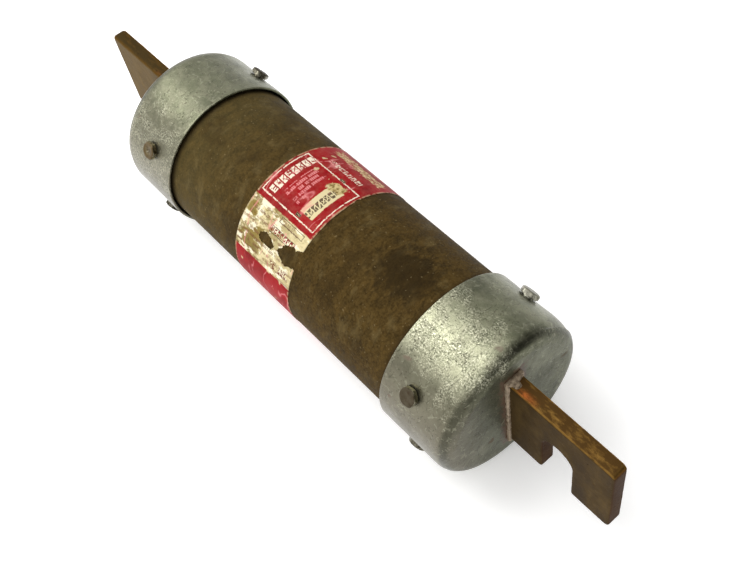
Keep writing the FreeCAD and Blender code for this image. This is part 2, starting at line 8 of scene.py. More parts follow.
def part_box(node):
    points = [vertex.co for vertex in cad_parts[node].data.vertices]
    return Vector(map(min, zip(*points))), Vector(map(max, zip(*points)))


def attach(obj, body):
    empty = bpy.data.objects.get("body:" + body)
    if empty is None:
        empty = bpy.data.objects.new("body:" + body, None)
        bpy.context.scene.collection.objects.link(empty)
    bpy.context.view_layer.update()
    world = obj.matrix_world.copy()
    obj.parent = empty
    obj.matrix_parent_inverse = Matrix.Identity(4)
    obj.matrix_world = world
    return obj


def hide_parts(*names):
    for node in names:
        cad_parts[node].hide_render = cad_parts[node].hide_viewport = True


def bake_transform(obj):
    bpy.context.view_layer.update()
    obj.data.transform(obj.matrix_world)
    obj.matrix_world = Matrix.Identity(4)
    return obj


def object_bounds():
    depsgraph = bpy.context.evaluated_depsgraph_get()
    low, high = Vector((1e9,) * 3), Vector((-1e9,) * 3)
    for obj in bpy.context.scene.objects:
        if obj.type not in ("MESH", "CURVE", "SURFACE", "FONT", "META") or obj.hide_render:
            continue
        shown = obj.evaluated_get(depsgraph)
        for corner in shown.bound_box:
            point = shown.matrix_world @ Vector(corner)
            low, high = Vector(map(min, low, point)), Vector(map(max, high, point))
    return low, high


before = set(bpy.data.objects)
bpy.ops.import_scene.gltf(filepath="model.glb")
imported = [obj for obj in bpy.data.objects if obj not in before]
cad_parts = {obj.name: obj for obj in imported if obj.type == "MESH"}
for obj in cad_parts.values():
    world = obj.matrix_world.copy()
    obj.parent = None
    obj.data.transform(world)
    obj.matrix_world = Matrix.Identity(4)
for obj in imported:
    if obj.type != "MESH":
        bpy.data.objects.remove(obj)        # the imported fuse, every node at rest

mm = 0.001               # pieces are modelled in millimetres and made metres at the end
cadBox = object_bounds()
scene = bpy.context.scene
halfTurn = Matrix.Rotation(math.pi, 4, "Z")
ends = {"notched": Matrix.Identity(4), "plain": halfTurn}


def nodeBox(node):
    low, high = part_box(node)
    return low / mm, high / mm


tubeRadius = nodeBox("fibre_tube")[1].z
capRim, capFace = nodeBox("notched_end_cap")[0].x, nodeBox("notched_end_cap")[1].x
capRadius = nodeBox("notched_end_cap")[1].z
labelLow, labelHigh = nodeBox("paper_label")
labelMiddle, labelHalf = (labelLow.x + labelHigh.x) / 2, (labelHigh.x - labelLow.x) / 2
bladeLow, bladeHigh = nodeBox("notched_knife_blade")
beadHigh = nodeBox("notched_solder_bead")[1]
screwLow, screwHigh = nodeBox("notched_cap_screws")
springLow, springHigh = nodeBox("trigger_spring")
print("frame read")


def srgb(red, green, blue):
    parts = []
    for value in (red, green, blue):
        share = value / 255
        parts.append(share / 12.92 if share <= 0.04045 else ((share + 0.055) / 1.055) ** 2.4)
    return (*parts, 1.0)


def onTube(x, angle, radius):
    turn = math.radians(angle)      # from +Y up towards +Z
    return Vector((x, radius * math.cos(turn), radius * math.sin(turn)))


def put(tree, kind, inputs=None, **settings):
    node = tree.nodes.new(kind)
    for name, value in settings.items():
        setattr(node, name, value)
    for name, value in (inputs or {}).items():
        if isinstance(value, bpy.types.NodeSocket):
            tree.links.new(value, node.inputs[name])
        else:
            node.inputs[name].default_value = value
    return node


def join(kind, inputs, **settings):     # a node in the tree that its inputs come from
    sockets = [value for value in inputs.values() if isinstance(value, bpy.types.NodeSocket)]
    return put(sockets[0].id_data, kind, inputs, **settings).outputs


def calc(operation, *values, clamp=False):
    return join("ShaderNodeMath", dict(enumerate(values)), operation=operation, use_clamp=clamp)[0]


def chain(operation, values):
    total = values[0]
    for value in values[1:]:
        total = calc(operation, total, value)
    return total


def add(*values):
    return chain("ADD", values)


def minus(first, second, clamp=False):
    return calc("SUBTRACT", first, second, clamp=clamp)


def times(*values):
    return chain("MULTIPLY", values)


def most(*values):
    return chain("MAXIMUM", values)


def divide(first, second, clamp=False):
    return calc("DIVIDE", first, second, clamp=clamp)


def absolute(value):
    return calc("ABSOLUTE", value)


def without(first, second):
    return times(first, minus(1.0, second, clamp=True))


def spread(value, low, high, toLow=0.0, toHigh=1.0):
    inputs = {"Value": value, "From Min": low, "From Max": high, "To Min": toLow, "To Max": toHigh}
    return join("ShaderNodeMapRange", inputs)["Result"]


def blendColour(share, first, second):
    return join("ShaderNodeMix", {0: share, 6: first, 7: second}, data_type="RGBA")[2]


def paintOver(colour, coats):           # each coat: where it shows, how strongly, its colour
    for mask, share, paint in coats:
        share = mask if share == 1 else times(mask, share)
        colour = blendColour(share, colour, srgb(*paint) if isinstance(paint, tuple) else paint)
    return colour


def noiseAt(place, scale, detail=4.0, roughness=0.55):
    inputs = {"Vector": place, "Scale": scale, "Detail": detail, "Roughness": roughness}
    return join("ShaderNodeTexNoise", inputs)["Fac"]


def split(place):
    return join("ShaderNodeSeparateXYZ", {"Vector": place})


def facing(tree):
    return split(put(tree, "ShaderNodeNewGeometry").outputs["Normal"])


def inMillimetres(tree, stretch=(1, 1, 1), shift=(0, 0, 0)):
    coordinates = put(tree, "ShaderNodeTexCoord").outputs["Object"]
    scale = tuple(value / mm for value in stretch)
    return join("ShaderNodeMapping", {"Vector": coordinates, "Scale": scale, "Location": shift})["Vector"]


socketKinds = {1: "NodeSocketFloat", 3: "NodeSocketVector", 4: "NodeSocketColor"}


def startGroup(name, inputs, outputs):
    group = bpy.data.node_groups.new(name, "ShaderNodeTree")
    for label, value in inputs.items():
        size = len(value) if isinstance(value, tuple) else 1
        socket = group.interface.new_socket(label, in_out="INPUT", socket_type=socketKinds[size])
        socket.default_value = value
    for label, size in outputs.items():
        group.interface.new_socket(label, in_out="OUTPUT", socket_type=socketKinds[size])
    return group, put(group, "NodeGroupInput").outputs, put(group, "NodeGroupOutput").inputs


def effect(group, **values):            # a colour is given as red, green and blue up to 255
    inputs = {name.capitalize(): srgb(*value) if isinstance(value, tuple) else value
              for name, value in values.items()}
    return join("ShaderNodeGroup", inputs, node_tree=group)


def maskOf(group, **values):
    return effect(group, **values)["Mask"]


def heightOf(group, **values):
    return effect(group, **values)["Height"]


def dice(*cell):         # one random value from 0 to 1 for each whole-numbered cell
    corner = join("ShaderNodeCombineXYZ", dict(zip("XYZ", cell)))[0]
    return join("ShaderNodeTexWhiteNoise", {"Vector": corner})["Value"]


def makeMottle():        # cloudy change between two colours; Size is the cloud's width in mm
    group, given, result = startGroup("mottle", {
        "Place": (0.0, 0.0, 0.0), "Size": 8.0, "Dark": (0.1, 0.1, 0.1, 1.0),
        "Light": (0.2, 0.2, 0.2, 1.0), "Low": 0.35, "High": 0.65}, {"Colour": 4, "Mask": 1})
    scale = divide(1.0, given["Size"])
    cloud = noiseAt(given["Place"], scale, 6.0, 0.62)
    mask = spread(cloud, given["Low"], given["High"])
    group.links.new(mask, result["Mask"])
    group.links.new(blendColour(mask, given["Dark"], given["Light"]), result["Colour"])
    return group


def makeSpecks():        # round specks, on the given share of the cells
    group, given, result = startGroup("specks", {
        "Place": (0.0, 0.0, 0.0), "Size": 1.0, "Share": 0.3, "Width": 0.3}, {"Mask": 1})
    scale = divide(1.0, given["Size"])
    bend = join("ShaderNodeTexNoise", {"Vector": given["Place"], "Scale": scale, "Detail": 3.0})["Color"]
    bend = join("ShaderNodeVectorMath", {0: bend, "Scale": given["Size"]}, operation="SCALE")[0]
    moved = join("ShaderNodeVectorMath", {0: given["Place"], 1: bend}, operation="ADD")[0]
    cell = join("ShaderNodeTexVoronoi", {"Vector": moved, "Scale": scale})
    chance = join("ShaderNodeSeparateColor", {"Color": cell["Color"]})
    chosen = calc("LESS_THAN", chance["Red"], given["Share"])
    reach = times(given["Width"], spread(chance["Green"], 0, 1, 0.45, 1.25))
    near = minus(1.0, divide(cell["Distance"], reach))
    near = calc("MULTIPLY", near, 2.5, clamp=True)
    group.links.new(times(near, chosen), result["Mask"])
    return group


def makeScratches():     # thin wandering lines where a broad noise allows them
    group, given, result = startGroup("scratches", {
        "Place": (0.0, 0.0, 0.0), "Size": 10.0, "Width": 0.01, "Share": 0.5}, {"Mask": 1})
    scale = divide(1.0, given["Size"])
    run = noiseAt(given["Place"], scale, 1.5, 0.4)
    away = absolute(minus(run, 0.5))
    line = minus(1.0, divide(away, given["Width"]), clamp=True)
    broad = noiseAt(given["Place"], times(scale, 1.9), 2.0, 0.5)
    limit = minus(1.0, given["Share"])
    allowed = spread(broad, limit, add(limit, 0.05))
    group.links.new(times(line, allowed), result["Mask"])
    return group


def makeEdgeWear():      # worn outside edges, broken up by noise
    group, given, result = startGroup("edge wear", {
        "Place": (0.0, 0.0, 0.0), "Size": 1.5, "Low": 0.52, "High": 0.6}, {"Mask": 1})
    sharp = put(group, "ShaderNodeNewGeometry").outputs["Pointiness"]
    rough = noiseAt(given["Place"], divide(1.0, given["Size"]), 5.0, 0.65)
    rough = spread(rough, 0.3, 0.7, -0.06, 0.06)
    total = add(sharp, rough)
    group.links.new(spread(total, given["Low"], given["High"]), result["Mask"])
    return group


def makeDust():          # settles on what faces up
    group, given, result = startGroup("dust", {
        "Place": (0.0, 0.0, 0.0), "Size": 3.0, "Amount": 0.3}, {"Mask": 1})
    up = facing(group)["Z"]
    cloud = noiseAt(given["Place"], divide(1.0, given["Size"]), 6.0, 0.7)
    lying = times(spread(up, 0.0, 0.9), spread(cloud, 0.4, 0.75))
    group.links.new(times(lying, given["Amount"]), result["Mask"])
    return group


def makeGrain():         # fine height, coarse and fine parts added
    group, given, result = startGroup("grain", {
        "Place": (0.0, 0.0, 0.0), "Coarse": 4.0, "Fine": 0.5, "Share": 0.4}, {"Height": 1})
    coarse = noiseAt(given["Place"], divide(1.0, given["Coarse"]), 4.0, 0.5)
    fine = noiseAt(given["Place"], divide(1.0, given["Fine"]), 3.0, 0.6)
    inputs = {0: given["Share"], 2: coarse, 3: fine}
    height = join("ShaderNodeMix", inputs, data_type="FLOAT")[0]
    group.links.new(height, result["Height"])
    return group


mottle, specks, scratches = makeMottle(), makeSpecks(), makeScratches()
edgeWear, dust, grain = makeEdgeWear(), makeDust(), makeGrain()


def newMaterial(name, **constants):
    material = bpy.data.materials.new(name)
    material.use_nodes = True
    tree = material.node_tree
    tree.nodes.clear()
    shader = put(tree, "ShaderNodeBsdfPrincipled")
    put(tree, "ShaderNodeOutputMaterial", {"Surface": shader.outputs[0]})
    for label, value in constants.items():
        shader.inputs[label.replace("_", " ")].default_value = value
    return material, tree, shader


def finishMaterial(tree, shader, colour, roughness, height, depth, metallic=None):
    tree.links.new(colour, shader.inputs["Base Color"])
    tree.links.new(roughness, shader.inputs["Roughness"])
    if metallic is not None:
        tree.links.new(metallic, shader.inputs["Metallic"])
    bump = put(tree, "ShaderNodeBump", {"Height": height, "Distance": depth * mm, "Strength": 1.0})
    tree.links.new(bump.outputs["Normal"], shader.inputs["Normal"])


# per end: the bearing of the gritty band, and how strongly its painted highlight and painted glints show; the
# near-white colour paints both the glints and bare worn edges
zinc = dict(
    notched=dict(dull=(86, 88, 70), fresh=(120, 122, 99), shift=(0, 0, 0), highlightAt=107.0,
                 face=0.84, glints=0.68, highlight=0.44),
    plain=dict(dull=(88, 90, 72), fresh=(114, 116, 94), shift=(37, 11, 5), highlightAt=150.0,
               face=0.85, glints=0.36, highlight=0.1),
    glintAndBareMetal=(236, 234, 206), stain=(62, 54, 40), rust=(84, 50, 26))


def makeZinc(end):       # old plated sheet: cloudy and pitted, with a gritty band of painted glints and a painted highlight
    look = zinc[end]
    material, tree, shader = newMaterial(end + "CapZinc")
    place = inMillimetres(tree, shift=look["shift"])
    axes = split(inMillimetres(tree))
    clouds = effect(mottle, place=place, size=13.0, dark=look["dull"], light=look["fresh"], low=0.34,
                    high=0.68)
    blots = maskOf(mottle, place=place, size=2.4, low=0.5, high=0.72)
    veins = maskOf(scratches, place=place, size=4.0, width=0.03, share=0.5)
    hairPlace = inMillimetres(tree, stretch=(1, 0.5, 0.5), shift=look["shift"][::-1])
    hairs = maskOf(scratches, place=hairPlace, size=2.6, width=0.022, share=0.55)
    pits = maskOf(specks, place=place, size=1.3, share=0.32, width=0.26)
    spots = maskOf(specks, place=place, size=7.5, share=0.1, width=0.22)
    # the band at this bearing holds painted light: glints and a highlight where the lamp is reflected
    turn = math.radians(look["highlightAt"])
    side = add(times(axes["Y"], math.cos(turn) / capRadius), times(axes["Z"], math.sin(turn) / capRadius))
    patch = spread(noiseAt(place, 1 / 7, 4.0, 0.65), 0.3, 0.7, -0.2, 0.2)
    highlightBand = spread(add(side, patch), 0.84, 1.06)
    crystals = noiseAt(place, 1 / 0.62, 5.0, 0.72)
    glintGrit = times(spread(crystals, 0.49, 0.6), highlightBand)
    gaps = times(spread(crystals, 0.46, 0.38), highlightBand)
    everywhere = times(spread(crystals, 0.63, 0.7), spread(noiseAt(place, 1 / 6, 3.0, 0.6), 0.5, 0.6))
    worn = maskOf(edgeWear, place=place, size=2.0, low=0.54, high=0.62)
    lying = maskOf(dust, place=place, size=4.0, amount=0.22)
    rootGap = most(minus(absolute(axes["Y"]), bladeHigh.y + 1.6),
                   minus(absolute(axes["Z"]), bladeHigh.z + 1.6))
    rootNoise = spread(noiseAt(place, 1 / 2.0, 4.0, 0.6), 0.35, 0.65, -1.5, 1.5)
    nearRoot = spread(add(rootGap, rootNoise), 1.9, 0.2)
    along = absolute(axes["X"])
    onFace = spread(along, capFace - 2.2, capFace - 0.6)
    # painted dark reflection: a dark line along the rounded corner between skirt and face
    cornerDarkReflection = times(spread(along, capFace - 4.4, capFace - 3.0),
                   spread(along, capFace - 0.5, capFace - 1.6), spread(side, -0.9, 0.0))
    leftSide = spread(axes["Y"], capRadius * -0.35, capRadius * -0.95)
    # painted highlight: a smooth pale stripe along the skirt at the band's bearing, kept off the face
    paintedHighlight = times(spread(side, 0.9, 1.0), without(1.0, onFace))
    fine = times(spread(crystals, 0.44, 0.36), spread(onFace, 0, 1, 0.35, 0.6))
    # painted glints: near-white sparkle, strong in the band and faint all over
    glints = most(times(glintGrit, look["glints"]), times(everywhere, 0.42))
    colour = paintOver(clouds["Colour"], [
        (blots, 0.4, (84, 86, 70)),
        (onFace, 1 - look["face"], (70, 68, 56)),
        (leftSide, 0.8, (108, 102, 88)),
        (paintedHighlight, look["highlight"], (196, 197, 166)),
        (cornerDarkReflection, 0.62, (42, 44, 32)),
        (veins, 0.3, (176, 176, 152)),
        (pits, 0.7, zinc["stain"]),
        (hairs, 0.6, (54, 54, 40)),
        (fine, 1, (60, 60, 46)),
        (gaps, 0.75, (60, 62, 46)),
        (glints, 1, zinc["glintAndBareMetal"]),
        (spots, 0.5, zinc["rust"]),
        (times(nearRoot, onFace), 0.75, zinc["rust"]),
        (worn, 0.3, zinc["glintAndBareMetal"]),
        (lying, 1, (176, 170, 148))])
    rough = spread(clouds["Mask"], 0, 1, 0.33, 0.26)
    rough = add(rough, times(spots, 0.3), times(lying, 0.6), times(blots, 0.08), times(onFace, 0.14))
    relief = heightOf(grain, place=place, coarse=3.0, fine=0.5, share=0.5)
    height = add(times(relief, 0.8), times(pits, -0.5), times(glintGrit, 0.4), times(hairs, -0.3),
                 times(fine, -0.3), times(gaps, -0.3), times(nearRoot, 0.2))
    dullness = most(spots, times(nearRoot, onFace))
    finishMaterial(tree, shader, colour, rough, height, 0.12, without(0.9, dullness))
    return material


copper = dict(
    notched=dict(dark=(48, 36, 17), mid=(84, 67, 38), gold=(134, 102, 50), top=(76, 54, 26)),
    plain=dict(dark=(80, 65, 38), mid=(104, 86, 53), gold=(86, 65, 34), top=(54, 42, 20)),
    bare=(150, 78, 36))


def makeCopper(end):     # tarnished blade, rubbed to gold along its top edge, where golden highlights are also painted
    look = copper[end]
    material, tree, shader = newMaterial(end + "BladeCopper", Specular_IOR_Level=0.025,
                                         Specular_Tint=(1.0, 0.62, 0.32, 1.0))
    place = inMillimetres(tree)
    axes = split(place)
    hanging = inMillimetres(tree, stretch=(1.0, 1.0, 0.3))
    drawn = inMillimetres(tree, stretch=(0.4, 1.0, 1.0))
    clouds = effect(mottle, place=hanging, size=7.0, dark=look["dark"], light=look["mid"], low=0.34,
                    high=0.7)
    film = maskOf(mottle, place=place, size=1.6, low=0.4, high=0.7)
    marks = maskOf(scratches, place=drawn, size=3.0, width=0.012, share=0.4)
    spots = maskOf(specks, place=place, size=2.6, share=0.2, width=0.24)
    flat = facing(tree)
    top = spread(flat["Z"], 0.35, 0.8)
    corner = times(spread(flat["Z"], 0.2, 0.5), spread(flat["Z"], 0.98, 0.85))
    streaks = noiseAt(drawn, 1 / 2.2, 6.0, 0.7)
    # gold on the top and its rounded edges: real rubbing, shown also as metal, and painted golden highlights
    rubbedGoldAndHighlight = times(top, spread(streaks, 0.5, 0.66))
    rubbedGoldAndHighlight = most(rubbedGoldAndHighlight, times(corner, spread(streaks, 0.34, 0.52)))
    reach = absolute(axes["X"])
    nearCap = times(spread(reach, capFace + 3, capFace + 7), spread(reach, capFace + 14, capFace + 8))
    bare = times(top, nearCap, spread(streaks, 0.36, 0.56), spread(axes["Y"], 0.4, -1.6))
    deep = spread(noiseAt(place, 1 / 11, 4.0, 0.6), 0.46, 0.62)
    atTip = spread(absolute(flat["X"]), 0.5, 0.9)
    colour = paintOver(clouds["Colour"], [
        (film, 0.3, look["dark"]),
        (deep, 0.6, look["dark"]),
        (top, 0.85, look["top"]),
        (marks, 0.3, look["gold"]),
        (spots, 0.4, (36, 27, 19)),
        (rubbedGoldAndHighlight, 0.65, look["gold"]),
        (bare, 0.7 if end == "notched" else 0.2, copper["bare"]),
        (atTip, 0.55, (58, 30, 18))])
    rough = add(spread(clouds["Mask"], 0, 1, 0.46, 0.56), times(bare, -0.12), times(rubbedGoldAndHighlight, -0.1),
                times(spots, 0.15))
    metal = spread(most(bare, rubbedGoldAndHighlight), 0, 1, 0.06, 0.85)
    relief = heightOf(grain, place=place, coarse=2.4, fine=0.4, share=0.3)
    height = add(relief, times(marks, -0.3), times(spots, -0.4), times(rubbedGoldAndHighlight, -0.15))
    finishMaterial(tree, shader, colour, rough, height, 0.13, metal)
    return material


def makeTubeFibre():     # varnished fibre: dark olive brown, finely mottled and stained
    material, tree, shader = newMaterial("tubeFibre", Specular_IOR_Level=0.045,
                                         Specular_Tint=(1.0, 0.8, 0.5, 1.0))
    place = inMillimetres(tree)
    wound = inMillimetres(tree, stretch=(1.3, 0.8, 0.8))
    clouds = effect(mottle, place=wound, size=3.6, dark=(48, 36, 14), light=(74, 57, 27), low=0.36,
                    high=0.66)
    fine = maskOf(mottle, place=place, size=0.9, low=0.4, high=0.66)
    stain = spread(noiseAt(place, 1 / 17, 4.0, 0.6), 0.52, 0.62)
    bruise = join("ShaderNodeVectorMath", {0: place, 1: (48.0, -1.0, tubeRadius)},
                  operation="DISTANCE")["Value"]
    bruise = spread(add(bruise, spread(clouds["Mask"], 0, 1, -3, 3)), 14.0, 7.0)
    flecks = maskOf(specks, place=place, size=1.4, share=0.3, width=0.24)
    axes = split(place)
    greener = spread(axes["X"], -18.0, -55.0)
    # painted shadow: a dark band on the tube just inside each cap rim, where the rim shades the gap
    rimShadow = spread(add(absolute(axes["X"]), spread(fine, 0, 1, -0.6, 0.6)), capRim - 2.6, capRim - 0.2)
    cracks = maskOf(scratches, place=wound, size=2.0, width=0.04, share=0.56)
    pale = spread(noiseAt(wound, 1 / 8, 5.0, 0.65), 0.53, 0.66)
    colour = paintOver(clouds["Colour"], [
        (fine, 0.42, (94, 76, 42)),
        (cracks, 0.5, (36, 27, 11)),
        (greener, 0.28, (86, 80, 50)),
        (pale, 0.35, (104, 90, 58)),
        (stain, 0.5, (46, 35, 17)),
        (bruise, 0.75, (38, 29, 14)),
        (flecks, 0.3, (134, 118, 84)),
        (rimShadow, 0.7, (30, 24, 16))])
    rough = spread(clouds["Mask"], 0, 1, 0.6, 0.74)
    relief = heightOf(grain, place=wound, coarse=2.2, fine=0.45, share=0.4)
    height = add(relief, times(flecks, 0.2), times(cracks, -0.3))
    finishMaterial(tree, shader, colour, rough, height, 0.15)
    return material


def makeSteel(name, dark, light, rust, depth=0.05, cloud=2.5, wear=0.5, crown=None,
              crownDull=0.8):
    material, tree, shader = newMaterial(name, Specular_IOR_Level=0.15)
    place = inMillimetres(tree)
    clouds = effect(mottle, place=place, size=cloud, dark=dark, light=light, low=0.36, high=0.66)
    spots = maskOf(specks, place=place, size=1.4, share=0.3, width=0.35)
    worn = maskOf(edgeWear, place=place, size=0.8, low=0.52, high=0.6)
    colour = paintOver(clouds["Colour"], [
        (spots, 0.7, rust),
        (worn, wear, (214, 210, 188))])
    dull = times(spots, 0.6)
    if crown:            # the top of a screw head, told by its distance from the fuse's middle line
        axes = split(place)
        flat = join("ShaderNodeCombineXYZ", {"Y": axes["Y"], "Z": axes["Z"]})[0]
        away = join("ShaderNodeVectorMath", {0: flat}, operation="LENGTH")["Value"]
        top = spread(away, capRadius + 1.7, capRadius + 1.95)
        colour = paintOver(colour, [(top, 0.85, crown)])
        dull = most(dull, times(top, crownDull))
    rough = add(spread(clouds["Mask"], 0, 1, 0.32, 0.2), times(dull, 0.4))
    metal = without(0.95, dull)
    relief = heightOf(grain, place=place, coarse=1.6, fine=0.3, share=0.4)
    height = add(relief, times(spots, -0.4))
    finishMaterial(tree, shader, colour, rough, height, depth, metal)
    return material


def makeMatt(name, dark, light, cloud, fleck, depth, roughness, fleckSize=1.0, metallic=0.0):
    material, tree, shader = newMaterial(name)
    place = inMillimetres(tree)
    clouds = effect(mottle, place=place, size=cloud, dark=dark, light=light, low=0.34, high=0.68)
    flecks = maskOf(specks, place=place, size=fleckSize, share=0.4, width=0.42)
    worn = maskOf(edgeWear, place=place, size=1.0, low=0.54, high=0.64)
    colour = paintOver(clouds["Colour"], [
        (flecks, 0.6, fleck),
        (worn, 0.4, light)])
    rough = spread(clouds["Mask"], 0, 1, roughness, roughness + 0.14)
    relief = heightOf(grain, place=place, coarse=cloud * 0.5, fine=fleckSize * 0.5, share=0.45)
    height = add(relief, times(flecks, 0.4))
    metal = spread(clouds["Mask"], 0, 1, metallic, metallic * 0.85)
    finishMaterial(tree, shader, colour, rough, height, depth, metal)
    return material


capZinc = {end: makeZinc(end) for end in ends}
bladeCopper = {end: makeCopper(end) for end in ends}
tubeFibre = makeTubeFibre()
screwSteel = {
    "bright": makeSteel("brightScrew", (92, 90, 80), (188, 186, 170), (62, 54, 40), wear=0.4,
                        crown=(112, 110, 96), crownDull=0.3),
    "brown": makeSteel("brownScrew", (96, 92, 74), (150, 146, 124), (58, 46, 28), wear=0.3,
                       crown=(48, 35, 15), crownDull=0.95),
    "dark": makeSteel("darkScrew", (44, 40, 30), (128, 124, 108), (44, 34, 20), wear=0.3,
                      crown=(48, 40, 26)),
    "rusty": makeSteel("rustyScrew", (64, 54, 34), (156, 144, 112), (60, 40, 20), wear=0.4,
                       crown=(84, 68, 40), crownDull=0.35)}
beadSolder = makeMatt("beadSolder", (112, 96, 76), (176, 158, 134), 1.5, (76, 60, 42), 0.2, 0.5,
                      0.9, 0.5)
blockBrass = makeMatt("blockBrass", (132, 100, 46), (184, 150, 82), 5.0, (92, 70, 34), 0.05, 0.34,
                      1.6, 0.95)
elementCopper = makeMatt("elementCopper", (140, 72, 40), (200, 116, 72), 6.0, (96, 48, 28), 0.04,
                         0.34, 2.0, 0.95)
pinSteel = makeSteel("pinSteel", (104, 104, 100), (184, 184, 178), (92, 66, 42), 0.05)
springSteel = makeSteel("springSteel", (64, 62, 62), (140, 138, 134), (84, 60, 40), 0.04, 1.2)
boardFibre = makeMatt("boardFibre", (104, 74, 48), (150, 116, 82), 4.0, (82, 56, 36), 0.1, 0.62, 0.7)
linerFibre = makeMatt("linerFibre", (138, 120, 92), (184, 166, 132), 5.0, (110, 92, 66), 0.1, 0.66,
                      0.8)
quartzSand = makeMatt("quartzSand", (164, 150, 124), (224, 214, 192), 1.5, (120, 108, 88), 0.3, 0.8,
                      0.45)
postCeramic = makeMatt("postCeramic", (206, 200, 186), (236, 232, 222), 5.0, (176, 166, 146), 0.03,
                       0.4, 0.8)
seatMica = makeMatt("seatMica", (166, 146, 104), (216, 202, 164), 3.0, (128, 108, 72), 0.05, 0.3, 1.2)
softAlloy = makeMatt("softAlloy", (124, 124, 122), (178, 178, 174), 2.0, (92, 90, 88), 0.08, 0.38,
                     0.9, 0.9)
print("metals, fibre and filling ready")


def makePrintBox():      # a printed rectangle or its outline; Around is in degrees on the tube
    group, given, result = startGroup("print box", {
        "Across": 0.0, "Around": 0.0, "Left": -1.0, "Right": 1.0, "Low": 80.0, "High": 100.0,
        "Line": 0.4, "Soft": 0.12}, {"Filled": 1, "Outline": 1})
    perDegree = math.radians(1) * tubeRadius
    sides = [minus(given["Across"], given["Left"]), minus(given["Right"], given["Across"]),
             times(minus(given["Around"], given["Low"]), perDegree),
             times(minus(given["High"], given["Around"]), perDegree)]
    inside = sides[0]
    for side in sides[1:]:
        inside = calc("MINIMUM", inside, side)
    filled = divide(inside, given["Soft"], clamp=True)
    past = divide(minus(inside, given["Line"]), given["Soft"], clamp=True)
    group.links.new(filled, result["Filled"])
    group.links.new(minus(filled, past), result["Outline"])
    return group


def makeGreeked():       # rows of unreadable small print; Along runs with the row
    group, given, result = startGroup("greeked rows", {
        "Along": 0.0, "Across": 0.0, "Row": 1.4, "Letter": 0.6, "Ink": 0.55, "Seed": 0.0}, {"Mask": 1})
    row = divide(given["Across"], given["Row"])
    cell = divide(given["Along"], given["Letter"])
    inRow = calc("LESS_THAN", calc("FRACT", row), given["Ink"])
    word = divide(given["Along"], times(given["Letter"], 6.0))
    letters, words = (dice(calc("FLOOR", part), calc("FLOOR", row), given["Seed"])
                      for part in (cell, word))
    shown = times(calc("GREATER_THAN", letters, 0.22), calc("GREATER_THAN", words, 0.16))
    inLetter = calc("LESS_THAN", calc("FRACT", cell), 0.8)
    group.links.new(times(inRow, shown, inLetter), result["Mask"])
    return group


def makeBlockMarks():    # bold blocks, each split by a slanting cut, which spell nothing
    group, given, result = startGroup("block marks", {
        "Along": 0.0, "Across": 0.0, "Width": 4.8, "Tall": 4.3, "Cut": 0.12, "Seed": 0.0}, {"Mask": 1})
    cell = divide(given["Along"], given["Width"])
    number = calc("FLOOR", cell)
    along = divide(calc("FRACT", cell), 0.78)
    across = divide(given["Across"], given["Tall"])

    def between(low, high, shift):
        return spread(dice(number, given["Seed"], shift), 0, 1, low, high)

    def slant(shift):
        line = minus(across, between(0.25, 0.75, shift))
        lean = times(minus(along, 0.5), between(-1.3, 1.3, shift + 1))
        away = absolute(minus(line, lean))
        return calc("LESS_THAN", away, times(given["Cut"], 0.5))

    pastStem = calc("GREATER_THAN", along, between(0.1, 0.4, 7.0))
    cuts = times(most(slant(1.0), slant(4.0)), pastStem)
    low = calc("GREATER_THAN", across, between(-0.1, 0.1, 8.0))
    high = calc("LESS_THAN", across, 1.0)
    shown = times(calc("LESS_THAN", along, 1.0), low, high)
    group.links.new(without(shown, cuts), result["Mask"])
    return group


printBox, greeked, blockMarks = makePrintBox(), makeGreeked(), makeBlockMarks()

labelInk = dict(
    red=(148, 2, 12), dullRed=(116, 4, 12), cream=(208, 194, 150), white=(228, 216, 194),
    ochre=(130, 112, 56), brownInk=(96, 40, 30), darkInk=(58, 36, 20), pink=(214, 128, 128),
    frame=(-20.9, 10.0, 69.8, 113.2),           # left, right, low and high angle
    title=(-18.4, -14.4, 70.6, 109.8),
    smallPrint=(-12.4, -3.0, 76.0, 105.0),
    plate=(-0.9, 6.2, 77.5, 107.2),
    tear=(-2.0, 5.6, 73.5, 82.0),
    column=(-30.0, 30.0, 116.8, 159.5),
    thinBox=(-5.2, 8.3, 117.9, 122.6),
    markBox=(-7.3, 6.9, 126.6, 132.2),
    numerals=(-1.0, 8.6, 149.4, 154.6),
    sideMarks=(-13.0, 5.0, 58.8, 64.0),
    tanPatch=(-18.0, 8.2, 39.0, 50.0))


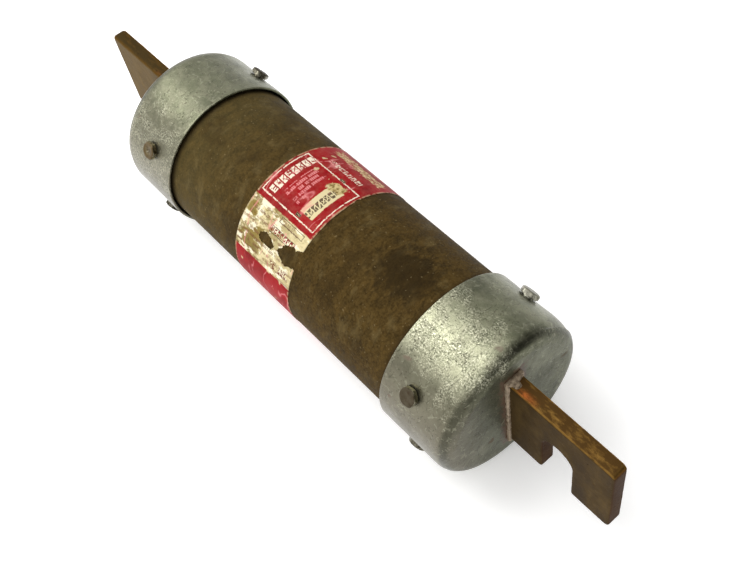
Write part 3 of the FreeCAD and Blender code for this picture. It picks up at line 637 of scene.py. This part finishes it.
def makeLabelPaper():
    ink = labelInk
    material, tree, shader = newMaterial("labelPaper", Specular_IOR_Level=0.06)
    place = inMillimetres(tree)
    axes = split(place)
    fuzz = spread(noiseAt(place, 1.1, 4.0, 0.6), 0.3, 0.7, -0.16, 0.16)
    across = add(axes["X"], fuzz)
    around = times(calc("ARCTAN2", axes["Z"], axes["Y"]), 180 / math.pi)
    around = add(around, times(fuzz, 2.2))
    perDegree = math.radians(1) * tubeRadius
    arc = times(around, perDegree)              # millimetres around the tube
    fromLeft = add(across, 30.0)

    def box(name, line=0.45, soft=0.12, ragged=None):
        left, right, low, high = ink[name]
        x, angle = across, around
        if ragged:
            push = spread(noiseAt(place, 1 / ragged, 5.0, 0.6), 0.3, 0.7, -1.6, 1.6)
            x, angle = add(across, push), add(around, times(push, 1.6))
        return effect(printBox, across=x, around=angle, left=left, right=right, low=low, high=high,
                      line=line, soft=soft)

    def marksIn(name, rise=0.0, **values):      # a row of block marks along the fuse, inside a box
        marks = maskOf(blockMarks, along=fromLeft, across=minus(arc, (ink[name][2] + rise) * perDegree),
                       **values)
        return times(marks, box(name)["Filled"])

    clouds = effect(mottle, place=place, size=9.0, dark=ink["dullRed"], light=ink["red"], low=0.3,
                    high=0.58)
    column = box("column", soft=0.3)
    creased = inMillimetres(tree, stretch=(0.7, 1.2, 1.2))
    aged = maskOf(mottle, place=creased, size=7.0, low=0.44, high=0.52)
    farEdge = spread(axes["X"], 2.0, -12.0, 0.4, 1.0)
    flaked = maskOf(mottle, place=creased, size=2.0, low=0.5, high=0.58)
    lit = maskOf(mottle, place=creased, size=4.5, low=0.52, high=0.56)
    agedColour = paintOver(srgb(*ink["cream"]), [
        (times(aged, farEdge), 1, ink["ochre"]),
        (times(flaked, farEdge), 0.7, (108, 92, 46)),
        (lit, 0.8, (240, 232, 204))])
    colour = blendColour(column["Filled"], clouds["Colour"], agedColour)

    printWear = spread(noiseAt(place, 1 / 2.6, 5.0, 0.65), 0.36, 0.46)
    frameLine = times(box("frame", line=0.5)["Outline"], printWear)
    left, right, low, high = ink["title"]
    title = maskOf(blockMarks, along=minus(high * perDegree, arc), across=minus(right, across),
                   width=2.7, tall=right - left, cut=0.13, seed=7.0)
    title = times(title, box("title")["Filled"], printWear)
    small = maskOf(greeked, along=arc, across=fromLeft, row=2.1, letter=0.8, ink=0.66, seed=3.0)
    small = times(small, box("smallPrint")["Filled"], printWear)
    colour = paintOver(colour, [
        (frameLine, 1, ink["white"]),
        (title, 1, ink["white"]),
        (small, 0.85, ink["pink"])])

    plate = box("plate", soft=0.2)["Filled"]
    left, right, low, high = ink["plate"]
    plateMarks = maskOf(blockMarks, along=minus((high - 2.4) * perDegree, arc),
                        across=minus(right - 1.6, across), width=2.05, tall=3.1, cut=0.2, seed=2.0)
    plateMarks = times(plateMarks, plate)
    colour = paintOver(colour, [
        (plate, 1, ink["cream"]),
        (plateMarks, 0.9, ink["darkInk"])])
    for centre in (110.0, 69.5):                # short register bars beside the plate
        bar = effect(printBox, across=across, around=around, left=-1.6, right=1.1, low=centre - 1.2,
                     high=centre + 1.2, line=0.5, soft=0.15)
        colour = paintOver(colour, [
            (bar["Filled"], 1, ink["cream"]),
            (bar["Outline"], 1, ink["darkInk"])])
    tear = box("tear", soft=0.5, ragged=3.0)["Filled"]
    tearTone = effect(mottle, place=place, size=1.4, dark=(120, 98, 52), light=(196, 176, 124), low=0.42,
                      high=0.58)
    colour = blendColour(tear, colour, tearTone["Colour"])

    thin = box("thinBox", line=0.34)
    thinRows = maskOf(greeked, along=across, across=arc, row=1.1, letter=0.5, ink=0.55, seed=5.0)
    inThin = times(thinRows, thin["Filled"])
    marked = box("markBox", line=0.34)
    inMarked = marksIn("markBox", rise=0.9, width=1.8, tall=1.9, cut=0.26, seed=4.0)
    bold = times(marksIn("numerals", width=1.7, tall=2.6, cut=0.24, seed=12.0), printWear)
    sideRows = maskOf(greeked, along=across, across=arc, row=2.6, letter=0.55, ink=0.4, seed=9.0)
    beyondBoxes = most(spread(around, 133.0, 134.0), spread(axes["X"], -8.5, -8.8))
    columnPrint = times(sideRows, column["Filled"], printWear, beyondBoxes)
    colour = paintOver(colour, [
        (thin["Outline"], 0.8, ink["darkInk"]),
        (inThin, 0.55, ink["brownInk"]),
        (marked["Outline"], 0.8, ink["darkInk"]),
        (inMarked, 1, (120, 34, 34)),
        (bold, 1, (104, 44, 26)),
        (columnPrint, 0.6, ink["brownInk"])])

    sideMarks = times(marksIn("sideMarks", width=2.3, tall=2.4, cut=0.3, seed=6.0), printWear)
    patch = box("tanPatch", soft=0.6, ragged=4.0)["Filled"]
    patchGrain = effect(mottle, place=place, size=1.2, dark=(150, 112, 74), light=(222, 200, 158),
                        low=0.4, high=0.62)
    patchShare = times(patch, spread(noiseAt(place, 1 / 1.5, 5.0, 0.7), 0.36, 0.5))
    colour = paintOver(colour, [
        (sideMarks, 0.85, ink["white"]),
        (patchShare, 1, patchGrain["Colour"])])

    scuffPlace = inMillimetres(tree, stretch=(1.0, 0.4, 0.4), shift=(3, 0, 0))
    scuffs = times(maskOf(scratches, place=scuffPlace, size=7.0, width=0.02, share=0.5), printWear)
    chips = maskOf(specks, place=place, size=3.4, share=0.22, width=0.26)
    fromMiddle = absolute(minus(axes["X"], labelMiddle))
    worn = times(spread(fromMiddle, labelHalf - 1.0, labelHalf), spread(noiseAt(place, 1 / 2.2, 5.0, 0.65), 0.42, 0.52))
    lying = maskOf(dust, place=place, size=3.0, amount=0.07)
    edges = spread(fromMiddle, labelHalf - 0.7, labelHalf)
    colour = paintOver(colour, [
        (scuffs, 0.7, ink["pink"]),
        (chips, 0.75, ink["cream"]),
        (worn, 0.8, (214, 196, 152)),
        (lying, 1, (216, 204, 176)),
        (edges, 0.5, (66, 48, 30))])
    rough = add(spread(clouds["Mask"], 0, 1, 0.56, 0.46), times(chips, 0.3), times(patchShare, 0.35),
                times(tear, 0.3))
    relief = heightOf(grain, place=place, coarse=5.0, fine=0.45, share=0.25)
    height = add(relief, times(chips, -0.5), times(scuffs, -0.3), times(patchShare, -0.5),
                 times(tear, -0.4))
    finishMaterial(tree, shader, colour, rough, height, 0.09)
    return material


labelPaper = makeLabelPaper()
print("label print ready")


def wire(work, points):
    corners = [work.verts.new(point) for point in points]
    runs = [work.edges.new(pair) for pair in zip(corners, corners[1:])]
    return corners, runs


def vertsOf(items):
    return [item for item in items if isinstance(item, bmesh.types.BMVert)]


def roundCorners(work, corners, radius, steps):
    bmesh.ops.bevel(work, geom=corners, offset=radius, segments=steps, profile=0.5,
                    affect="VERTICES", material=-1)


def splitRuns(work, longest):
    for edge in list(work.edges):
        cuts = int(edge.calc_length() / longest)
        if cuts:
            bmesh.ops.subdivide_edges(work, edges=[edge], cuts=cuts)


def spinAbout(work, steps):
    bmesh.ops.spin(work, geom=work.verts[:] + work.edges[:], cent=(0, 0, 0), axis=(1, 0, 0),
                   dvec=(0, 0, 0), angle=2 * math.pi, steps=steps, use_merge=True)
    bmesh.ops.remove_doubles(work, verts=work.verts, dist=0.0005)
    bmesh.ops.recalc_face_normals(work, faces=work.faces)


def asObject(name, work, place=Matrix.Identity(4)):
    mesh = bpy.data.meshes.new(name)
    bmesh.ops.recalc_face_normals(work, faces=work.faces)
    work.to_mesh(mesh)
    work.free()
    mesh.transform(place @ Matrix.Scale(mm, 4))
    piece = bpy.data.objects.new(name, mesh)
    scene.collection.objects.link(piece)
    return piece


def cutAway(piece, cutter):
    change = piece.modifiers.new("cut", "BOOLEAN")
    change.operation, change.solver, change.object = "DIFFERENCE", "EXACT", cutter
    bpy.context.view_layer.update()
    graph = bpy.context.evaluated_depsgraph_get()
    mesh = bpy.data.meshes.new_from_object(piece.evaluated_get(graph))
    piece.modifiers.clear()
    piece.data = mesh
    bpy.data.objects.remove(cutter)


def finishPiece(piece, material, stands=(), body="fuse_case", smooth=35):
    piece.data.materials.clear()
    piece.data.materials.append(material)
    piece.data.shade_smooth()
    piece.data.set_sharp_from_angle(angle=math.radians(smooth))
    if body:
        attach(piece, body)
    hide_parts(*stands)
    return piece


screwTilt = 32.0                        # degrees above and below the middle, as the holes are drilled
screwAngles = (screwTilt, 180 - screwTilt, 180 + screwTilt, 360 - screwTilt)
screwX = (screwLow.x + screwHigh.x) / 2

capShape = dict(
    wall=1.9, corner=6.0, rimRound=0.35, flare=0.8, flareLong=3.0, slotLong=41.6, slotWide=6.5,
    steps=300, dent=0.14, dimple=0.45, dimpleWidth=5.0, faceDent=0.2,
    skin=0.9, shift={"notched": (0, 0, 0), "plain": (50, 20, 9)},
    # knocks round the edge of the face: bearing and width in degrees, depth
    knocks={"notched": ((28.0, 26.0, 1.25), (118.0, 14.0, 0.35)), "plain": ((200.0, 20.0, 0.5),)})


def makeCap(end):
    shape = capShape
    work = bmesh.new()
    inner = capRadius - shape["wall"]
    points = [(capFace, 0, 0), (capFace, 0, capRadius), (capRim, 0, capRadius),
              (capRim, 0, inner + shape["flare"]), (capRim + shape["flareLong"], 0, inner),
              (capFace - shape["wall"], 0, inner), (capFace - shape["wall"], 0, 0)]
    corners, runs = wire(work, points)
    roundCorners(work, [corners[5]], shape["corner"] - shape["wall"], 10)
    roundCorners(work, [corners[1]], shape["corner"], 14)
    rim = [vert for vert in work.verts if abs(vert.co.x - capRim) < 0.01]
    roundCorners(work, rim, shape["rimRound"], 4)
    splitRuns(work, 1.1)
    spinAbout(work, shape["steps"])
    shift = Vector(shape["shift"][end])
    for vert in work.verts:
        place = vert.co
        reach = math.hypot(place.y, place.z)
        onFace = place.x > capFace - shape["skin"]
        if reach > capRadius - shape["skin"] or onFace:
            dent = noise.noise((place + shift) / 9) * 0.6 + noise.noise((place + shift) / 3.5) * 0.4
            inward = shape["dent"] * (dent + 0.8)
            for angle in screwAngles:
                away = (place - onTube(screwX, angle, capRadius)).length
                inward += shape["dimple"] * math.exp(-(away / shape["dimpleWidth"]) ** 2)
            bearing = math.degrees(math.atan2(place.z, place.y))
            onCorner = math.exp(-((place.x - capFace + 1.5) / 4) ** 2) * min(1, (reach / capRadius) ** 6)
            for angle, width, deep in shape["knocks"][end]:
                off = (bearing - angle + 180) % 360 - 180
                inward += deep * math.exp(-(off / width) ** 2) * onCorner
            if onFace:
                place.x -= shape["faceDent"] * (dent + 0.8)
            if reach > 1:
                share = (reach - inward * min(1, reach / capRadius)) / reach
                place.y *= share
                place.z *= share
    cap = asObject(end + "CapShell", work, ends[end])
    work = bmesh.new()
    slotSize = (8, shape["slotWide"], shape["slotLong"], 1)
    bmesh.ops.create_cube(work, size=1, matrix=Matrix.Translation((capFace, 0, 0))
                          @ Matrix.Diagonal(slotSize))
    for angle in screwAngles:
        turn = Matrix.Rotation(math.radians(angle - 90), 4, "X")
        bmesh.ops.create_cone(work, cap_ends=True, segments=32, radius1=2.45, radius2=2.45, depth=8,
                              matrix=turn @ Matrix.Translation((screwX, 0, capRadius)))
    cutAway(cap, asObject("cutter", work, ends[end]))
    finishPiece(cap, capZinc[end], [end + "_end_cap"], smooth=40)


for end in ends:
    makeCap(end)
print("caps made")

bladeShape = dict(
    tipRound={"notched": 2.2, "plain": 3.0}, lowTipRound=2.2, notchCentre=123.2, notchWidth=13.6,
    notchDeep=25.4, mouthRound=1.3, edge={"notched": 0.85, "plain": 1.5},
    slice=1.6, rough=0.02, edgeRough=0.08, shoulder=101.5, thinner=0.1,
    shift={"notched": (0, 7, 0), "plain": (31, 3, 17)})


def makeBlade(end):
    shape = bladeShape
    low, high = bladeLow, bladeHigh
    half = (high.y - low.y) / 2
    work = bmesh.new()
    points = [(low.x, -half, high.z), (high.x, -half, high.z), (high.x, -half, low.z)]
    if end == "notched":
        left = shape["notchCentre"] - shape["notchWidth"] / 2
        right = shape["notchCentre"] + shape["notchWidth"] / 2
        top = low.z + shape["notchDeep"]
        points += [(right, -half, low.z), (right, -half, top), (left, -half, top), (left, -half, low.z)]
    points.append((low.x, -half, low.z))
    face = work.faces.new([work.verts.new(point) for point in points])
    grown = bmesh.ops.extrude_face_region(work, geom=[face])["geom"]
    bmesh.ops.translate(work, vec=(0, 2 * half, 0), verts=vertsOf(grown))
    bmesh.ops.recalc_face_normals(work, faces=work.faces)

    def across(x, z):
        return [edge for edge in work.edges
                if all(abs(v.co.x - x) < 0.01 and abs(v.co.z - z) < 0.01 for v in edge.verts)]

    def soften(edges, radius, steps):
        bmesh.ops.bevel(work, geom=edges, offset=radius, segments=steps, profile=0.5,
                        affect="EDGES", material=-1)

    soften(across(high.x, high.z), shape["tipRound"][end], 8)
    soften(across(high.x, low.z), shape["lowTipRound"], 6)
    if end == "notched":
        soften(across(left, top) + across(right, top), shape["notchWidth"] / 2 - 0.02, 12)
        soften(across(left, low.z) + across(right, low.z), shape["mouthRound"], 5)
    outline = [edge for edge in work.edges
               if not all(abs(face.normal.y) > 0.99 for face in edge.link_faces)
               and any(abs(face.normal.y) > 0.99 for face in edge.link_faces)]
    soften(outline, shape["edge"][end], 4)
    for axis, start, stop in ((0, low.x, high.x), (2, low.z, high.z)):
        normal = Vector((0, 0, 0))
        normal[axis] = 1
        count = int((stop - start) / shape["slice"])
        for step in range(1, count):
            point = Vector((0, 0, 0))
            point[axis] = start + (stop - start) * step / count
            bmesh.ops.bisect_plane(work, geom=work.verts[:] + work.edges[:] + work.faces[:],
                                   plane_co=point, plane_no=normal, dist=0.0001)
    work.normal_update()
    shift = Vector(shape["shift"][end])
    moves = []
    for vert in work.verts:
        onEdge = abs(vert.co.y) > half - shape["edge"][end] - 0.01 and abs(vert.normal.y) < 0.98
        amount = shape["edgeRough"] if onEdge else shape["rough"]
        push = noise.noise((vert.co + shift) / 2.2) - 0.95
        moves.append(vert.normal * amount * push)
    for vert, move in zip(work.verts, moves):
        vert.co += move
        if vert.co.x < shape["shoulder"]:
            vert.co.y *= 1 - shape["thinner"] / half
    blade = asObject(end + "Blade", work, ends[end])
    finishPiece(blade, bladeCopper[end], [end + "_knife_blade"], smooth=40)


for end in ends:
    makeBlade(end)
print("blades made")

beadShape = dict(wide=0.95, sunk=0.25, edge=0.55, rough=0.26, shift={
    "notched": (3, 0, 0), "plain": (60, 40, 0)}, blobs={       # place and half sizes of each blob
    "notched": ((1.0, 0.0, 20.5, 1.7, 3.4, 1.0), (2.7, -1.0, 20.65, 1.9, 1.6, 0.4),
                (0.7, -2.9, 17.6, 0.9, 1.0, 3.2), (0.8, 2.7, 19.2, 1.0, 1.2, 2.2)),
    "plain": ((1.2, 0.2, 20.5, 2.0, 3.0, 1.2), (0.7, 2.9, 12.0, 1.1, 1.2, 3.6))})


def makeBead(end):
    shape = beadShape
    work = bmesh.new()
    high = beadHigh.x - capFace
    size = (high + shape["sunk"], bladeHigh.y * 2 + shape["wide"] * 2,
            (bladeHigh.z + shape["wide"]) * 2, 1)
    middle = Matrix.Translation((capFace + (high - shape["sunk"]) / 2, 0, 0))
    bmesh.ops.create_cube(work, size=1, matrix=middle @ Matrix.Diagonal(size))
    bmesh.ops.bevel(work, geom=work.edges[:], offset=shape["edge"], segments=3, profile=0.5,
                    affect="EDGES", material=-1)
    splitRuns(work, 0.9)
    bmesh.ops.triangulate(work, faces=work.faces)
    bmesh.ops.subdivide_edges(work, edges=work.edges, cuts=1, use_grid_fill=True)
    for x, y, z, long, wide, tall in shape["blobs"][end]:
        spot = Matrix.Translation((capFace + x, y, z)) @ Matrix.Diagonal((long, wide, tall, 1))
        bmesh.ops.create_icosphere(work, subdivisions=4, radius=1, matrix=spot)
    shift = Vector(shape["shift"][end])
    work.normal_update()
    moves = [vert.normal * shape["rough"] * noise.fractal((vert.co + shift) / 1.4, 0.8, 2.0, 3)
             for vert in work.verts]
    for vert, move in zip(work.verts, moves):
        vert.co += move
    bead = asObject(end + "SolderSeal", work, ends[end])
    finishPiece(bead, beadSolder, [end + "_solder_bead"], smooth=60)


for end in ends:
    makeBead(end)
print("solder made")

screwShape = dict(
    flats=6.9, head=2.25, cornerCut=0.14, topShare=0.93, chamfer=28.0, steps=72, washer=0.35,
    shank=2.4, shankLong=13.0)
# for each cap, anticlockwise seen from its own end: finish, turn in degrees, sink, worn depth
screwLooks = {
    "notched": (("bright", 8, 0.0, 0.12), ("brown", 9, 0.1, 0.1), ("dark", -7, 0.1, 0.1),
                ("dark", 15, 0.0, 0.1)),
    "plain": (("rusty", 6, 0.1, 0.45), ("dark", -5, 0.0, 0.12), ("dark", 11, 0.05, 0.1),
              ("dark", 0, 0.0, 0.1))}


def makeScrew(end, number):
    shape = screwShape
    finish, turn, sink, hollow = screwLooks[end][number]
    angle = screwAngles[number]
    work = bmesh.new()
    across = shape["flats"] / 2
    limit = across / math.cos(math.pi / 6) - shape["cornerCut"]
    topRadius = across * shape["topShare"]
    ring = bmesh.ops.create_circle(work, segments=shape["steps"], radius=1)["verts"]
    edges = list({edge for vert in ring for edge in vert.link_edges})

    def hexRadius(vert):
        bearing = math.degrees(math.atan2(vert.co.y, vert.co.x)) % 60
        return min(across / math.cos(math.radians(bearing - 30)), limit)

    slope = math.tan(math.radians(shape["chamfer"]))

    def level(verts, place):
        for vert in verts:
            bearing = math.atan2(vert.co.y, vert.co.x)
            radius, height = place(vert)
            vert.co = Vector((radius * math.cos(bearing), radius * math.sin(bearing), height))

    def nextRing(edges, place):
        grown = bmesh.ops.extrude_edge_only(work, edges=edges)["geom"]
        verts = vertsOf(grown)
        level(verts, place)
        return [item for item in grown if isinstance(item, bmesh.types.BMEdge)
                and all(vert in verts for vert in item.verts)]

    head, washer = shape["head"], shape["washer"]
    level(ring, lambda vert: (shape["shank"], -shape["shankLong"]))
    edges = nextRing(edges, lambda vert: (shape["shank"], 0.0))
    edges = nextRing(edges, lambda vert: (topRadius * 1.02, 0.0))
    edges = nextRing(edges, lambda vert: (topRadius * 1.02, washer))
    edges = nextRing(edges, lambda vert: (hexRadius(vert), washer + 0.05))
    for share in (0.4, 0.8, 1.0):
        edges = nextRing(edges, lambda vert: (hexRadius(vert), washer + 0.05 + share * (
            head - washer - 0.15 - max(0, hexRadius(vert) - topRadius) * slope)))
    edges = nextRing(edges, lambda vert: (topRadius, head - 0.04))
    edges = nextRing(edges, lambda vert: (topRadius * 0.94, head))
    for share, drop in ((0.7, 0.35), (0.4, 0.85), (0.1, 1.0)):
        edges = nextRing(edges, lambda vert: (topRadius * share, head - hollow * drop))
    bmesh.ops.edgenet_fill(work, edges=edges)
    bmesh.ops.holes_fill(work, edges=work.edges, sides=0)
    for vert in work.verts:
        wear = noise.noise((vert.co + Vector((number * 9, turn, 0))) / 1.3)
        if vert.co.z > washer + 0.1:
            vert.co *= 1 + 0.006 * (wear - 0.4)
    place = (Matrix.Rotation(math.radians(angle - 90), 4, "X")
             @ Matrix.Translation((screwX, 0, capRadius - 0.02 - sink))
             @ Matrix.Rotation(math.radians(turn), 4, "Z"))
    bmesh.ops.transform(work, matrix=place, verts=work.verts)
    screw = asObject(f"{end}CapScrew{number + 1}", work, ends[end])
    stands = [end + "_cap_screws"] if number == 0 else []
    finishPiece(screw, screwSteel[finish], stands, smooth=26)


for end in ends:
    for number in range(4):
        makeScrew(end, number)
print("screws made")

labelShape = dict(
    thick=0.16, along=64, around=300, gap=0.6, edgeRough=0.28, wrinkle=0.035, sides=110, holes=(
        dict(x=-7.2, angle=138.6, long=3.3, wide=2.7, rough=0.3, seed=3),
        dict(x=-4.2, angle=139.4, long=2.4, wide=1.7, rough=0.35, seed=6),
        dict(x=6.2, angle=137.0, long=5.2, wide=3.9, rough=0.24, seed=8),
        dict(x=11.2, angle=134.2, long=3.4, wide=4.3, rough=0.2, seed=5),
        dict(x=11.9, angle=74.5, long=1.0, wide=1.6, rough=0.35, seed=14)))


def makeLabel():
    shape = labelShape
    work = bmesh.new()
    bmesh.ops.create_grid(work, x_segments=shape["along"], y_segments=shape["around"], size=1)
    gap = math.degrees(shape["gap"] / tubeRadius)
    for vert in work.verts:
        side, share = vert.co.x, (vert.co.y + 1) / 2
        angle = -90 + gap / 2 + (360 - gap) * share
        flat = onTube(0, angle, 10)
        ragged = noise.noise(flat / 1.3 + Vector((side * 5, 0, 0))) * 0.6
        ragged += noise.noise(flat / 0.35 + Vector((side * 3, 4, 0))) * 0.4
        x = labelMiddle + side * (labelHalf - shape["edgeRough"] * (0.5 + ragged))
        radius = tubeRadius + 0.01 + shape["wrinkle"] * (
            0.5 + noise.noise(onTube(x, angle, tubeRadius) / 4.5))
        vert.co = onTube(x, angle, radius)
    bmesh.ops.recalc_face_normals(work, faces=work.faces)
    outward = sum(face.normal.dot(face.calc_center_median() * Vector((0, 1, 1)))
                  for face in work.faces[:50])
    bmesh.ops.solidify(work, geom=work.faces[:], thickness=shape["thick"] * (-1 if outward > 0 else 1))
    label = asObject("wrapLabel", work)
    for hole in shape["holes"]:
        work = bmesh.new()
        edge = bmesh.ops.create_circle(work, cap_ends=True, segments=shape["sides"], radius=1)["verts"]
        seed = Vector((hole["seed"] * 3.7, hole["seed"], 0))
        for vert in edge:
            share = 1 + hole["rough"] * noise.fractal(vert.co * 1.6 + seed, 0.7, 2.1, 4)
            vert.co.x *= hole["long"] * share
            vert.co.y *= hole["wide"] * share
        bmesh.ops.translate(work, vec=(0, 0, -3), verts=work.verts)
        grown = bmesh.ops.extrude_face_region(work, geom=work.faces[:])["geom"]
        bmesh.ops.translate(work, vec=(0, 0, 6), verts=vertsOf(grown))
        place = (Matrix.Rotation(math.radians(hole["angle"] - 90), 4, "X")
                 @ Matrix.Translation((hole["x"], 0, tubeRadius)))
        bmesh.ops.transform(work, matrix=place, verts=work.verts)
        cutAway(label, asObject("cutter", work))
    finishPiece(label, labelPaper, ["paper_label"], smooth=60)


makeLabel()
print("label made")

springShape = dict(turns=3.0, wire=0.96, steps=64)


def makeSpring():        # one end on the slider, one on the case
    shape = springShape
    work = bmesh.new()
    middle = springHigh.z - shape["wire"]
    long = springHigh.x - springLow.x - 2 * shape["wire"]
    turn = Matrix.Translation((springLow.x + shape["wire"], 0, middle)) @ Matrix.Rotation(
        math.pi / 2, 4, "X")
    bmesh.ops.create_circle(work, cap_ends=False, segments=14, radius=shape["wire"], matrix=turn)
    steps = int(shape["steps"] * shape["turns"])
    bmesh.ops.spin(work, geom=work.verts[:] + work.edges[:], cent=(0, 0, 0), axis=(1, 0, 0),
                   dvec=(long / steps, 0, 0), angle=2 * math.pi * shape["turns"], steps=steps)
    bmesh.ops.holes_fill(work, edges=work.edges, sides=0)
    spring = asObject("triggerCoil", work)
    finishPiece(spring, springSteel, ["trigger_spring"], body=None, smooth=50)
    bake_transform(spring)


makeSpring()
print("spring made")

nodeFinishes = {
    "fibre_tube": tubeFibre, "terminal_block": blockBrass, "blade_pins": pinSteel,
    "filling_plug": boardFibre, "end_washer": boardFibre, "sand_filling": quartzSand,
    "partition_disc": boardFibre, "short_circuit_strip": elementCopper,
    "block_rivets": pinSteel, "flange_rivets": pinSteel, "heat_absorber": elementCopper,
    "fusing_alloy": softAlloy, "trip_connector": elementCopper, "collector_socket": elementCopper,
    "stop_bush": postCeramic, "spring_seat": seatMica, "chamber_liner": linerFibre,
    "spacer_posts": postCeramic}
replaced = {"paper_label", "trigger_spring"} | {
    end + tail for end in ends for tail in ("_end_cap", "_knife_blade", "_solder_bead", "_cap_screws")}
for name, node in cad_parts.items():
    if name in replaced:
        continue
    finish = next(value for key, value in nodeFinishes.items() if key in name)
    node.data.materials.clear()
    node.data.materials.append(finish)
print("inner parts finished")

floorLevel = cadBox[0].z
floorMesh = bpy.data.meshes.new("floor")
work = bmesh.new()
bmesh.ops.create_grid(work, x_segments=1, y_segments=1, size=10,
                      matrix=Matrix.Translation((0, 0, floorLevel)))
work.to_mesh(floorMesh)
work.free()
floor = bpy.data.objects.new("floor", floorMesh)
scene.collection.objects.link(floor)
floorPaper, tree, shader = newMaterial("floorPaper", Roughness=0.9, Specular_IOR_Level=0.1)
shader.inputs["Base Color"].default_value = (0.93, 0.93, 0.93, 1)
shader.inputs["Emission Color"].default_value = (1, 1, 1, 1)
shader.inputs["Emission Strength"].default_value = 0.3
floorMesh.materials.append(floorPaper)

lamps = (                # name, place in mm, aim in mm, size in mm, power in watts
    ("overheadLamp", (-330, -190, 620), (20, 0, 0), 460, 2.4),
    ("backLamp", (-340, 200, 640), (20, 0, 0), 380, 0.35))
for name, place, aim, size, power in lamps:
    lamp = bpy.data.lights.new(name, "AREA")
    lamp.shape, lamp.size, lamp.energy = "DISK", size * mm, power
    holder = bpy.data.objects.new(name, lamp)
    toward = Vector(aim) - Vector(place)
    holder.matrix_world = Matrix.Translation(Vector(place) * mm) @ toward.to_track_quat(
        "-Z", "Y").to_matrix().to_4x4()
    scene.collection.objects.link(holder)

world = bpy.data.worlds.new("studio")   # brighter towards the window side, dimmer across the room
world.use_nodes = True
tree = world.node_tree
toward = put(tree, "ShaderNodeTexCoord").outputs["Generated"]
window = Vector((-0.45, -0.45, 0.77)).normalized()
share = join("ShaderNodeVectorMath", {0: toward, 1: tuple(window)},
            operation="DOT_PRODUCT")["Value"]
room = Vector((0.72, 0.66, 0.2)).normalized()
roomShare = join("ShaderNodeVectorMath", {0: toward, 1: tuple(room)},
                operation="DOT_PRODUCT")["Value"]
light = times(spread(share, -0.9, 1.0, 0.36, 1.35),
              spread(roomShare, 0.35, 0.85, 1.0, 0.04))
seen = put(tree, "ShaderNodeLightPath").outputs["Is Camera Ray"]    # behind the floor: plain pale
light = add(times(light, without(1.0, seen)), seen)
background = tree.nodes["Background"]
background.inputs["Color"].default_value = (1.0, 0.995, 0.985, 1)
tree.links.new(light, background.inputs["Strength"])
scene.world = world
scene.view_settings.view_transform = "Standard"
scene.view_settings.look = "None"

view = dict(place=(225.65, -117.97, 339.31), aim=(25.3, 0.0, 0.0), roll=12.69, lens=51.454)
place, aim = Vector(view["place"]), Vector(view["aim"])
forward = (aim - place).normalized()
sideways = forward.cross(Vector((0, 0, 1))).normalized()
right = Matrix.Rotation(math.radians(view["roll"]), 3, forward) @ sideways
up = right.cross(forward)
camera = bpy.data.cameras.new("camera")
camera.lens, camera.sensor_width, camera.sensor_fit = view["lens"], 36, "HORIZONTAL"
camera.clip_start, camera.clip_end = 0.01, 40
cameraHolder = bpy.data.objects.new("camera", camera)
turn = Matrix((right, up, -forward)).transposed().to_4x4()
cameraHolder.matrix_world = Matrix.Translation(place * mm) @ turn
scene.collection.objects.link(cameraHolder)
scene.camera = cameraHolder
print("floor, lamps and camera set")
